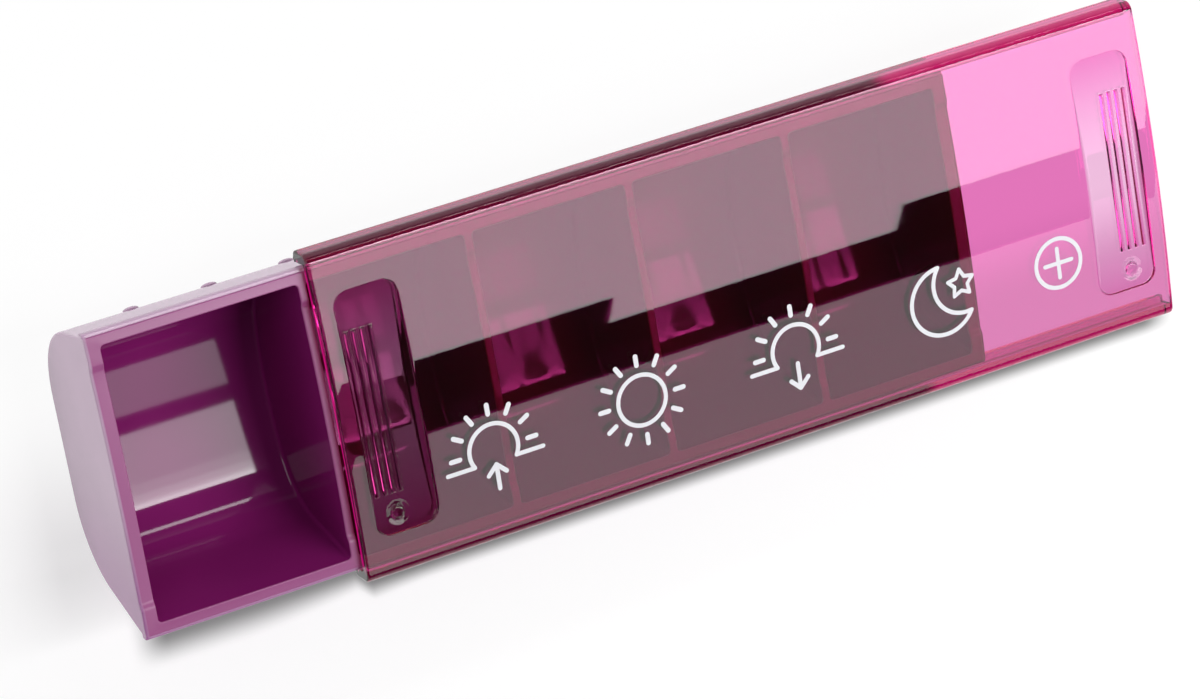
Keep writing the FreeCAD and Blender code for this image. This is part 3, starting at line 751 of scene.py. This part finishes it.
def build_cover(sizes, tray):
    """The clear cover: plate with grips, sides and hooks, in one closed shell."""
    section = CoverSection(sizes, tray)
    loop = section.points()
    normals = profile_normals([point[:2] for point in loop], closed=True)
    outward = 1 if normals[0].y > 0 else -1
    draft = MeshDraft()
    left, length_x = COVER_LOW.x, COVER_HIGH.x - COVER_LOW.x
    steps = 4
    turns = [QUARTER_TURN * (steps - step) / steps for step in range(steps)]
    plan = [("left", turn) for turn in turns]
    plan += [("body", u) for u in cover_stations(sizes, length_x)]
    plan += [("right", turn) for turn in reversed(turns)]
    rows = []
    for kind, value in plan:
        row = []
        for (y, z, end, on_top, tip), normal in zip(loop, normals):
            u, inset, glow = value, 0.0, 0.0
            if kind != "body":
                # Vertices on the cut ends get a painted glow, strongest on the end faces.
                glow = math.sin(value) if abs(y) < section.tip and not on_top else 0.0
                inset = end * (1 - math.cos(value))
                u = end * (1 - math.sin(value))
                u = length_x - u if kind == "right" else u
            lead = max(sizes.hook_lead - u, 0.0) if tip else 0.0
            new_y = y + math.copysign(lead, y) - outward * normal.x * inset
            new_z = z - outward * normal.y * inset
            if on_top:
                new_z -= grip_depth(sizes, min(u, length_x - u), y, section.height - z)
            row.append(draft.add(left + u, new_y, new_z, glow))
        rows.append(row)
    for first, second in zip(rows, rows[1:]):
        draft.strip(first, second, closed=True)
    draft.faces.append(tuple(rows[0]))
    draft.faces.append(tuple(reversed(rows[-1])))
    top = {row[i] for row in rows for i, point in enumerate(loop) if point[3]}
    piece = draft.piece("cover_shell", math.radians(50))
    mark = piece.data.attributes.new(TOP_ATTRIBUTE, "FLOAT", "POINT")
    mark.data.foreach_set("value", [1.0 if i in top else 0.0
                                    for i in range(len(piece.data.vertices))])
    return piece


class NodeDraft:
    """Adds nodes to a tree and links them, for geometry and for shaders."""

    def __init__(self, tree):
        self.tree = tree

    def node(self, kind, values=None, **settings):
        made = self.tree.nodes.new(kind)
        for key, value in settings.items():
            setattr(made, key, value)
        for key, value in (values or {}).items():
            self.put(made.inputs[key], value)
        return made

    def put(self, socket, value):
        """Links a socket to another node's output, or gives it a plain value."""
        if isinstance(value, bpy.types.NodeSocket):
            self.tree.links.new(value, socket)
        else:
            socket.default_value = value

    def math(self, operation, first, second=0.0):
        return self.node("ShaderNodeMath", {0: first, 1: second}, operation=operation).outputs[0]

    def product(self, first, second):
        return self.math("MULTIPLY", first, second)

    def less(self, first, second):
        return self.math("SUBTRACT", first, second)

    def distance(self, value, middle):
        return self.math("ABSOLUTE", self.less(value, middle))

    def ramp(self, value, low, high, from_value, to_value):
        """Smooth change from from_value to to_value as value goes from low to high."""
        given = enumerate((value, low, high, from_value, to_value))
        return self.node("ShaderNodeMapRange", dict(given),
                         interpolation_type="SMOOTHSTEP").outputs[0]

    def mixed(self, part, first, second):
        """A colour between two others."""
        return self.node("ShaderNodeMix", {0: part, 6: first, 7: second},
                         data_type="RGBA").outputs[2]

    def scaled(self, colour, factor):
        return self.node("ShaderNodeVectorMath", {0: colour, "Scale": factor},
                         operation="SCALE").outputs[0]

    def noise(self, place, scale, detail):
        return self.node("ShaderNodeTexNoise", {"Vector": place, "Scale": scale,
                                                "Detail": detail}).outputs["Fac"]

    def bump(self, height, distance, **under):
        """A raised surface, on top of the bump given as Normal."""
        return self.node("ShaderNodeBump", {"Height": height, "Distance": distance,
                                            "Strength": 1.0, **under}).outputs[0]

    def place(self):
        return self.node("ShaderNodeTexCoord").outputs["Object"]

    def axes(self, place):
        return self.node("ShaderNodeSeparateXYZ", {0: place}).outputs

    def glow(self, strength):
        """Plain white light of a strength."""
        return self.node("ShaderNodeEmission", {"Strength": strength}).outputs[0]

    def blended(self, part, first, second):
        """A shader between two others."""
        return self.node("ShaderNodeMixShader", {0: part, 1: first, 2: second}).outputs[0]


def geometry_tree(name, inputs):
    """An empty modifier tree with these named inputs, as (name, socket type, default)."""
    tree = bpy.data.node_groups.new(name, "GeometryNodeTree")
    tree.is_modifier = True
    tree.interface.new_socket("Geometry", in_out="INPUT", socket_type="NodeSocketGeometry")
    for label, kind, default in inputs:
        socket = tree.interface.new_socket(label, in_out="INPUT", socket_type=kind)
        if default is not None:
            socket.default_value = default
    tree.interface.new_socket("Geometry", in_out="OUTPUT", socket_type="NodeSocketGeometry")
    return tree


def grow(piece, tree, values):
    """Runs a geometry tree on a piece and keeps what it makes as the piece's own plain mesh."""
    modifier = piece.modifiers.new(tree.name, "NODES")
    modifier.node_group = tree
    for item in tree.interface.items_tree:
        if item.in_out == "INPUT" and item.name in values:
            modifier[item.identifier] = values[item.name]
    bpy.context.view_layer.update()
    evaluated = piece.evaluated_get(bpy.context.evaluated_depsgraph_get())
    mesh = bpy.data.meshes.new_from_object(evaluated)
    piece.modifiers.remove(modifier)
    mesh.name = piece.name
    piece.data = mesh
    return piece


LENGTH_SOCKET = "NodeSocketFloat"
PLASTIC_IOR = 1.5
WHITE = (1, 1, 1, 1)


def finished_tree(draft, geometry, material):
    """Ends a tree with plain geometry in one material."""
    solid = draft.node("GeometryNodeRealizeInstances", {"Geometry": geometry}).outputs[0]
    finished = draft.node("GeometryNodeSetMaterial", {"Geometry": solid,
                                                      "Material": material}).outputs[0]
    draft.node("NodeGroupOutput", {"Geometry": finished})
    return draft.tree


def rib_tree():
    """Raises a row of ribs out of the floor of both grips."""
    names = ("Middle", "Half Length", "First Rib", "Rib Pitch", "Rib Width", "Rib Height",
             "Rib Half Length", "Edge Softness")
    tree = geometry_tree("Grip ribs", [(name, LENGTH_SOCKET, 0.0) for name in names]
                         + [("Rib Count", "NodeSocketInt", 4),
                            ("Material", "NodeSocketMaterial", None)])
    draft = NodeDraft(tree)
    given = draft.node("NodeGroupInput").outputs
    axes = draft.axes(draft.node("GeometryNodeInputPosition").outputs[0])

    def slope(away, half):
        """1 up to a half width, and 0 past it, with a soft edge."""
        return draft.ramp(away, draft.less(half, given["Edge Softness"]),
                          draft.math("ADD", half, given["Edge Softness"]), 1.0, 0.0)

    from_end = draft.less(given["Half Length"], draft.distance(axes["X"], given["Middle"]))
    steps = draft.math("DIVIDE", draft.less(from_end, given["First Rib"]), given["Rib Pitch"])
    last = draft.less(given["Rib Count"], 1.0)
    nearest = draft.math("MAXIMUM", draft.math("MINIMUM", draft.math("ROUND", steps), last), 0.0)
    away = draft.product(draft.distance(steps, nearest), given["Rib Pitch"])
    across = slope(away, draft.product(given["Rib Width"], 0.5))
    along = slope(draft.math("ABSOLUTE", axes["Y"]), given["Rib Half Length"])
    on_top = draft.node("GeometryNodeInputNamedAttribute", {"Name": TOP_ATTRIBUTE},
                        data_type="FLOAT").outputs["Attribute"]
    rise = draft.product(draft.product(across, along), draft.product(given["Rib Height"], on_top))
    offset = draft.node("ShaderNodeCombineXYZ", {"Z": rise}).outputs[0]
    moved = draft.node("GeometryNodeSetPosition", {"Geometry": given["Geometry"],
                                                   "Offset": offset}).outputs[0]
    return finished_tree(draft, moved, given["Material"])


def dot_tree():
    """A row of low domes, each standing out of the wall behind it."""
    segments, rings = 40, 24
    tree = geometry_tree("Raised dots", [
        ("Dot Count", "NodeSocketInt", 3), ("First Place", "NodeSocketVector", None),
        ("Pitch", LENGTH_SOCKET, 0.01), ("Radius", LENGTH_SOCKET, 0.001),
        ("Height", LENGTH_SOCKET, 0.0005), ("Tilt", LENGTH_SOCKET, 0.0),
        ("Material", "NodeSocketMaterial", None)])
    draft = NodeDraft(tree)
    given = draft.node("NodeGroupInput").outputs
    step = draft.node("ShaderNodeCombineXYZ", {"X": given["Pitch"]}).outputs[0]
    row = draft.node("GeometryNodeMeshLine", {
        "Count": given["Dot Count"], "Start Location": given["First Place"],
        "Offset": step}).outputs[0]
    dome = draft.node("GeometryNodeMeshUVSphere", {
        "Segments": segments, "Rings": rings, "Radius": 1.0}).outputs["Mesh"]
    size = draft.node("ShaderNodeCombineXYZ", {
        "X": given["Radius"], "Y": given["Radius"], "Z": given["Height"]}).outputs[0]
    turn = draft.node("ShaderNodeCombineXYZ", {"X": given["Tilt"]}).outputs[0]
    copies = draft.node("GeometryNodeInstanceOnPoints", {
        "Points": row, "Instance": dome, "Rotation": turn, "Scale": size}).outputs[0]
    smooth = draft.node("GeometryNodeSetShadeSmooth", {"Geometry": copies}).outputs[0]
    # The dots take the skin zone, which is pale with its painted sheen.
    marked = draft.node("GeometryNodeStoreNamedAttribute", {
        "Geometry": smooth, "Name": ZONE_ATTRIBUTE, "Value": ZONE_SKIN},
        data_type="FLOAT", domain="POINT").outputs[0]
    return finished_tree(draft, marked, given["Material"])


def shader_group(name, inputs, outputs):
    """An empty shader group with these sockets, as (name, socket type, default)."""
    tree = bpy.data.node_groups.new(name, "ShaderNodeTree")
    for label, kind, default in inputs:
        tree.interface.new_socket(label, in_out="INPUT", socket_type=kind).default_value = default
    for label, kind in outputs:
        tree.interface.new_socket(label, in_out="OUTPUT", socket_type=kind)
    return tree


def moulded_grain():
    """Colour drift, gloss variation and a faint waviness, as moulded plastic has."""
    existing = bpy.data.node_groups.get("Moulded grain")
    if existing:
        return existing
    tree = shader_group(
        "Moulded grain",
        [("Colour", "NodeSocketColor", (0.5, 0.5, 0.5, 1)), ("Drift", "NodeSocketFloat", 0.05),
         ("Roughness", "NodeSocketFloat", 0.2), ("Gloss Variation", "NodeSocketFloat", 0.05),
         ("Wave Height", "NodeSocketFloat", 0.00002), ("Wave Size", "NodeSocketFloat", 60.0),
         ("Grain Height", "NodeSocketFloat", 0.000002)],
        [("Colour", "NodeSocketColor"), ("Roughness", "NodeSocketFloat"),
         ("Normal", "NodeSocketVector")])
    draft = NodeDraft(tree)
    given = draft.node("NodeGroupInput").outputs
    place = draft.place()
    fine_scale, streak_scale = 2600.0, 420.0
    cloud = draft.noise(place, given["Wave Size"], 3.0)
    fine = draft.noise(place, fine_scale, 2.0)
    streak = draft.noise(place, streak_scale, 4.0)
    shift = draft.math("ADD", draft.product(draft.less(cloud, 0.5), given["Drift"]), 0.5)
    tinted = draft.scaled(given["Colour"], draft.product(shift, 2.0))
    uneven = draft.product(draft.less(streak, 0.5), given["Gloss Variation"])
    rough = draft.math("MAXIMUM", draft.math("ADD", given["Roughness"], uneven), 0.0)
    wave = draft.bump(cloud, given["Wave Height"])
    grain = draft.bump(fine, given["Grain Height"], Normal=wave)
    draft.node("NodeGroupOutput", {"Colour": tinted, "Roughness": rough, "Normal": grain})
    return tree


def new_material(name):
    """A material with an empty node tree, and the draft that fills it."""
    material = bpy.data.materials.new(name)
    material.use_nodes = True
    material.node_tree.nodes.clear()
    return material, NodeDraft(material.node_tree)


def grained(draft, values):
    """Outputs of the moulded grain with one finish's own values."""
    group = draft.node("ShaderNodeGroup", node_tree=moulded_grain())
    for key, value in values.items():
        draft.put(group.inputs[key], value)
    return group.outputs


def tray_plastic(sizes):
    """Glossy opaque plastic of the tray: deep with painted shade inside, its own colour on the
    rims, and pale with painted sheen on the outer skin, with painted shade darker towards the
    front.
    """
    material, draft = new_material("tray_plastic")
    deep, rim, skin, front = ((*value, 1) for value in (
        sizes.deep_colour_with_painted_shade, sizes.rim_colour, sizes.skin_colour_with_painted_sheen, sizes.front_colour_with_painted_shade))
    zone = draft.node("ShaderNodeAttribute", attribute_name=ZONE_ATTRIBUTE).outputs["Fac"]
    # Zones: deep with painted shade, rim in its own colour, skin pale with painted sheen.
    zones = draft.node("ShaderNodeValToRGB", {"Fac": zone})
    stops = zones.color_ramp.elements
    stops[0].color = deep
    stops[1].color = skin
    stops.new(ZONE_RIM).color = rim
    # Painted shade: the skin turns darker towards the front wall.
    front_y, back_y = -19 * MM, 2 * MM
    toward_painted_front_shade = draft.ramp(draft.axes(draft.place())["Y"], front_y, back_y, 1.0, 0.0)
    on_skin = draft.ramp(zone, ZONE_RIM, ZONE_SKIN, 0.0, 1.0)
    whole = draft.mixed(on_skin, zones.outputs[0], draft.mixed(toward_painted_front_shade, skin, front))
    rough = draft.ramp(draft.distance(zone, ZONE_RIM), 0.0, ZONE_RIM, sizes.rim_roughness,
                       sizes.roughness)
    grain = grained(draft, {"Colour": whole, "Drift": 0.10,
                            "Roughness": rough, "Gloss Variation": 0.03,
                            "Wave Height": 0.008 * MM, "Wave Size": 70.0,
                            "Grain Height": 0.0004 * MM})
    surface = draft.node("ShaderNodeBsdfPrincipled", {
        "Base Color": grain["Colour"], "Roughness": grain["Roughness"],
        "Normal": grain["Normal"], "IOR": PLASTIC_IOR}).outputs[0]
    draft.node("ShaderNodeOutputMaterial", {"Surface": surface})
    return material


def clear_plastic(sizes):
    """Clear tinted plastic of the cover, which lets the lamps' light through, with a painted glow
    on its cut ends.
    """
    material, draft = new_material("clear_plastic")
    grain = grained(draft, {"Colour": WHITE, "Drift": 0.0, "Roughness": sizes.roughness,
                            "Gloss Variation": 0.01, "Wave Height": 0.0015 * MM,
                            "Wave Size": 45.0, "Grain Height": 0.0})
    # The cut ends get a painted glow through the emission.
    at_end = draft.node("ShaderNodeAttribute", attribute_name=ZONE_ATTRIBUTE).outputs["Fac"]
    glass = draft.node("ShaderNodeBsdfPrincipled", {
        "Base Color": WHITE, "Roughness": grain["Roughness"], "Normal": grain["Normal"],
        "IOR": PLASTIC_IOR, "Transmission Weight": 1.0,
        "Emission Color": draft.scaled(sizes.painted_edge_glow, at_end),
        "Emission Strength": 1.0}).outputs[0]
    clear = draft.node("ShaderNodeBsdfTransparent", {"Color": (*sizes.lamp_share, 1)}).outputs[0]
    rays = draft.node("ShaderNodeLightPath").outputs
    lamp_ray = draft.math("MAXIMUM", rays["Is Shadow Ray"], rays["Is Diffuse Ray"])
    inside = draft.node("ShaderNodeVolumeAbsorption", {"Color": (*sizes.tint, 1),
                                                       "Density": sizes.tint_density}).outputs[0]
    draft.node("ShaderNodeOutputMaterial", {"Surface": draft.blended(lamp_ray, glass, clear),
                                            "Volume": inside})
    return material


def sign_ink(sizes):
    """White screen-printed ink."""
    material, draft = new_material("sign_ink")
    grain = grained(draft, {"Colour": (*sizes.ink, 1), "Drift": 0.06, "Roughness": 0.42,
                            "Gloss Variation": 0.12, "Wave Height": 0.002 * MM,
                            "Wave Size": 400.0, "Grain Height": 0.002 * MM})
    surface = draft.node("ShaderNodeBsdfPrincipled", {
        "Base Color": grain["Colour"], "Roughness": grain["Roughness"],
        "Normal": grain["Normal"]}).outputs[0]
    draft.node("ShaderNodeOutputMaterial", {"Surface": surface})
    return material


def floor_masks(draft, stage):
    """Painted shadow on the floor before the front edges, painted shade on the floor seen through
    the cover, and how white it is behind.
    """
    axes = draft.axes(draft.place())
    # Painted shade round the tray, as it is seen through the clear cover
    edge, half_x, half_y = 4 * MM, 60 * MM, 38 * MM
    middle_x, middle_y = 7 * MM, 2 * MM
    contact = draft.product(
        draft.ramp(draft.distance(axes["X"], middle_x), half_x - edge, half_x, 1.0, 0.0),
        draft.ramp(draft.distance(axes["Y"], middle_y), half_y - edge, half_y, 1.0, 0.0))
    # Painted shadow along the front edges of tray and cover, which lie over these lines on the
    # floor. The line and the width of the shadow before it go over from the tray's to the cover's
    # along X.
    tray_line, cover_line, line_change = -29.6 * MM, -31.9 * MM, (-28 * MM, -25 * MM)
    tray_run, cover_run, run_change = 5.0 * MM, 2.6 * MM, (-45 * MM, -15 * MM)
    left_fade, right_fade = (-62 * MM, -56 * MM), (102 * MM, 108 * MM)
    under_fade = (-14 * MM, -2 * MM)
    line = draft.ramp(axes["X"], *line_change, tray_line, cover_line)
    run = draft.ramp(axes["X"], *run_change, tray_run, cover_run)
    before = draft.math("DIVIDE", draft.less(line, axes["Y"]), run)
    along = draft.product(draft.ramp(axes["X"], *left_fade, 0.0, 1.0),
                          draft.ramp(axes["X"], *right_fade, 1.0, 0.0))
    near_line = draft.product(draft.ramp(before, 0.0, 1.0, 1.0, 0.0),
                              draft.ramp(axes["Y"], *under_fade, 1.0, 0.0))
    painted_edge_shadow = draft.product(draft.product(along, near_line), stage.edge_shade)
    # Painted shade on a strip under the cover's front side and on all that lies in front, seen
    # through the cover
    strip_start, strip_end = (-38 * MM, -34 * MM), (-29 * MM, -27 * MM)
    front_fade = (-22 * MM, -9 * MM)
    strip = draft.product(draft.ramp(axes["Y"], *strip_start, 0.0, 1.0),
                          draft.ramp(axes["Y"], *strip_end, 1.0, 0.0))
    painted_strip_shade = draft.product(draft.product(along, strip), stage.strip_shade)
    painted_floor_front_shade = draft.ramp(axes["Y"], *front_fade, stage.front_shade, 0.0)
    painted_shade_through_cover = draft.math("MAXIMUM", draft.product(contact, stage.contact_shade),
                              draft.math("MAXIMUM", painted_strip_shade, painted_floor_front_shade))
    behind_rise = (-24 * MM, 10 * MM)
    behind = draft.ramp(axes["Y"], *behind_rise, 0.0, stage.white_behind)
    return painted_edge_shadow, painted_shade_through_cover, behind


def floor_paper(stage):
    """Pale studio paper, a little brighter where it is seen than what it gives as light, with a
    painted shadow before the front edges and painted shade where it is seen through the cover.
    """
    material, draft = new_material("studio_paper")
    fibre = draft.noise(draft.place(), 900.0, 3.0)
    paper = draft.node("ShaderNodeBsdfDiffuse", {
        "Color": (*stage.floor_colour, 1), "Normal": draft.bump(fibre, 0.01 * MM)}).outputs[0]
    shade = (stage.paper_shade,) * 3
    shaded = draft.node("ShaderNodeBsdfDiffuse", {"Color": (*shade, 1)}).outputs[0]
    painted_edge_shadow, painted_shade_through_cover, behind = floor_masks(draft, stage)
    rays = draft.node("ShaderNodeLightPath").outputs
    # Seen through the cover the floor is a plain white glow with painted shade from the masks; in
    # reflections it is plain white.
    white = draft.glow(draft.less(1.0, draft.product(painted_shade_through_cover, rays["Is Transmission Ray"])))
    seen = draft.node("ShaderNodeAddShader", {0: shaded,
                                              1: draft.glow(stage.paper_glow)}).outputs[0]
    seen = draft.blended(behind, seen, draft.glow(1.0))
    seen = draft.blended(painted_edge_shadow, seen, draft.glow(0.0))
    through = draft.math("MAXIMUM", rays["Is Glossy Ray"], rays["Is Transmission Ray"])
    direct = draft.blended(rays["Is Camera Ray"], paper, seen)
    draft.node("ShaderNodeOutputMaterial", {"Surface": draft.blended(through, direct, white)})
    return material


def finish_piece(piece, material):
    """Gives the whole piece one material."""
    piece.data.materials.clear()
    piece.data.materials.append(material)
    return piece


class PILL_OT_tray(bpy.types.Operator):
    """Build the tray with its compartments, rims and flanges"""
    bl_idname = "pill.tray"
    bl_label = "Tray"

    def execute(self, context):
        sizes = context.scene.pill_tray
        piece = finish_piece(build_tray(sizes), tray_plastic(sizes))
        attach(piece, "tray_body")
        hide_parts("tray")
        return {"FINISHED"}


class PILL_OT_dots(bpy.types.Operator):
    """Build the row of raised dots on the tray's back wall"""
    bl_idname = "pill.dots"
    bl_label = "Raised dots"

    def execute(self, context):
        sizes = context.scene.pill_tray
        shape = TrayShape(sizes)
        foot_radius = sizes.back_foot_radius
        centre_y = shape.flat_end(foot_radius, sizes.back_draft)
        place = (shape.left + sizes.first_dot,
                 centre_y + foot_radius * math.cos(sizes.dot_angle),
                 foot_radius * (1 - math.sin(sizes.dot_angle)))
        mesh = bpy.data.meshes.new("raised_dots")
        piece = bpy.data.objects.new("raised_dots", mesh)
        context.scene.collection.objects.link(piece)
        material = bpy.data.objects["tray_shell"].data.materials[0]
        grow(piece, dot_tree(), {
            "Dot Count": sizes.dot_count, "First Place": place, "Pitch": sizes.dot_pitch,
            "Radius": sizes.dot_radius, "Height": sizes.dot_height,
            "Tilt": -(QUARTER_TURN + sizes.dot_angle), "Material": material})
        finish_piece(piece, material)
        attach(piece, "tray_body")
        return {"FINISHED"}


class PILL_OT_cover(bpy.types.Operator):
    """Build the clear sliding cover with its grips, ribs and hooks"""
    bl_idname = "pill.cover"
    bl_label = "Sliding cover"

    def execute(self, context):
        sizes = context.scene.pill_cover
        piece = build_cover(sizes, context.scene.pill_tray)
        half_length = (COVER_HIGH.x - COVER_LOW.x) / 2
        material = clear_plastic(sizes)
        grow(piece, rib_tree(), {
            "Middle": COVER_LOW.x + half_length, "Half Length": half_length,
            "First Rib": sizes.first_rib, "Rib Pitch": sizes.rib_pitch,
            "Rib Width": sizes.rib_width, "Rib Height": sizes.rib_height,
            "Rib Half Length": sizes.rib_half_length, "Edge Softness": sizes.rib_softness,
            "Rib Count": sizes.rib_count, "Material": material})
        finish_piece(piece, material)
        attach(piece, "cover_body")
        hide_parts("sliding_cover")
        return {"FINISHED"}


class PILL_OT_signs(bpy.types.Operator):
    """Give the printed signs their ink"""
    bl_idname = "pill.signs"
    bl_label = "Printed signs"

    def execute(self, context):
        material = sign_ink(context.scene.pill_cover)
        for name in PRINTS:
            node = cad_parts[name]
            if not node.material_slots:
                node.data.materials.append(material)
            for slot in node.material_slots:
                slot.material = material
        return {"FINISHED"}


class PILL_OT_stage(bpy.types.Operator):
    """Make the floor, the light and the camera"""
    bl_idname = "pill.stage"
    bl_label = "Studio"

    def execute(self, context):
        stage = context.scene.pill_stage
        self.floor(context, stage)
        self.world(context, stage)
        for values in STUDIO_LAMPS:
            self.lamp(context, *values)
        self.camera(context, stage)
        context.scene.view_settings.view_transform = "Standard"
        return {"FINISHED"}

    def floor(self, context, stage):
        half = stage.floor_size / 2
        mesh = bpy.data.meshes.new("studio_floor")
        corners = [(-half, -half), (half, -half), (half, half), (-half, half)]
        mesh.from_pydata([(x, y, cad_low.z) for x, y in corners], [], [(0, 1, 2, 3)])
        floor = bpy.data.objects.new("studio_floor", mesh)
        context.scene.collection.objects.link(floor)
        finish_piece(floor, floor_paper(stage))

    def world(self, context, stage):
        """A pale room that is dim overhead."""
        world = bpy.data.worlds.new("studio_room")
        world.use_nodes = True
        world.node_tree.nodes.clear()
        draft = NodeDraft(world.node_tree)
        direction = draft.node("ShaderNodeTexCoord").outputs["Generated"]
        low, high = 0.10, 0.55
        level = draft.ramp(draft.axes(direction)["Z"], low, high, stage.horizon, stage.zenith)
        seen = draft.node("ShaderNodeLightPath").outputs["Is Camera Ray"]
        light = draft.node("ShaderNodeBackground", {
            "Color": WHITE, "Strength": draft.math("MAXIMUM", level, seen)})
        draft.node("ShaderNodeOutputWorld", {"Surface": light.outputs[0]})
        context.scene.world = world

    def lamp(self, context, name, brightness, low, high, height):
        """A level soft panel over the floor, given by the two corners that it spans."""
        light = bpy.data.lights.new(name, "AREA")
        light.shape = "RECTANGLE"
        light.size = high[0] - low[0]
        light.size_y = high[1] - low[1]
        light.energy = brightness * math.pi * light.size * light.size_y
        lamp = bpy.data.objects.new(name, light)
        lamp.location = ((low[0] + high[0]) / 2, (low[1] + high[1]) / 2, height)
        lamp.visible_camera = False
        context.scene.collection.objects.link(lamp)

    def camera(self, context, stage):
        data = bpy.data.cameras.new("camera")
        data.lens = stage.lens
        data.sensor_width = 36.0
        data.sensor_fit = "HORIZONTAL"
        data.clip_start, data.clip_end = 0.01, 20.0
        camera = bpy.data.objects.new("camera", data)
        back = -Vector(CAMERA_VIEW).normalized()
        right = Vector(CAMERA_UP).cross(back).normalized()
        up = back.cross(right)
        turned = Matrix((right, up, back)).transposed().to_4x4()
        camera.matrix_world = Matrix.Translation(Vector(CAMERA_PLACE)) @ turned
        context.scene.collection.objects.link(camera)
        context.scene.camera = camera


# Place and direction of the camera, from the photograph's perspective
CAMERA_PLACE = (-0.2466, 0.2245, 0.6233)
CAMERA_VIEW = (0.3657, -0.3271, -0.8714)
CAMERA_UP = (0.2868, 0.9302, -0.2288)

# Soft panels overhead: name, brightness against white, low and high corner, height
PANEL_HEIGHT = 1.0
STUDIO_LAMPS = (
    ("upper_panel", 4.6, (0.14, -0.304), (0.95, 0.0), PANEL_HEIGHT),
    ("upper_panel_foot", 4.6, (0.419, -0.342), (0.538, -0.304), PANEL_HEIGHT),
    ("upper_panel_rise", 5.6, (0.14, 0.0), (0.95, 0.06), PANEL_HEIGHT),
    ("upper_panel_bright", 7.2, (0.14, 0.06), (0.95, 0.11), PANEL_HEIGHT),
    ("upper_panel_brighter", 9.2, (0.14, 0.11), (0.95, 0.15), PANEL_HEIGHT),
    ("upper_panel_edge", 12.0, (0.14, 0.15), (0.95, 0.25), PANEL_HEIGHT),
    ("lower_panel", 2.2, (0.14, -0.85), (0.95, -0.426), PANEL_HEIGHT),
    ("far_panel", 6.0, (0.1, 1.1), (1.3, 1.3), PANEL_HEIGHT),
    ("camera_side_panel", 1.2, (-1.3, 0.1), (-0.3, 1.1), PANEL_HEIGHT),
)


class PILL_PT_panel(bpy.types.Panel):
    """Lists what builds the pill organizer"""
    bl_idname = "PILL_PT_panel"
    bl_label = "Pill organizer"
    bl_space_type = "VIEW_3D"
    bl_region_type = "UI"
    bl_category = "Pill organizer"

    def draw(self, context):
        for operator in OPERATORS:
            self.layout.operator(operator.bl_idname)
        for group in ("pill_tray", "pill_cover", "pill_stage"):
            box = self.layout.box()
            settings = getattr(context.scene, group)
            for name in settings.__annotations__:
                box.prop(settings, name)


OPERATORS = (PILL_OT_tray, PILL_OT_dots, PILL_OT_cover, PILL_OT_signs, PILL_OT_stage)
CLASSES = (TrayProperties, CoverProperties, StageProperties) + OPERATORS + (PILL_PT_panel,)


def register():
    for item in CLASSES:
        bpy.utils.register_class(item)
    bpy.types.Scene.pill_tray = PointerProperty(type=TrayProperties)
    bpy.types.Scene.pill_cover = PointerProperty(type=CoverProperties)
    bpy.types.Scene.pill_stage = PointerProperty(type=StageProperties)


def unregister():
    del bpy.types.Scene.pill_tray
    del bpy.types.Scene.pill_cover
    del bpy.types.Scene.pill_stage
    for item in reversed(CLASSES):
        bpy.utils.unregister_class(item)


def main():
    register()
    for operator in OPERATORS:
        group, name = operator.bl_idname.split(".")
        getattr(getattr(bpy.ops, group), name)()


if __name__ == "__main__":
    main()
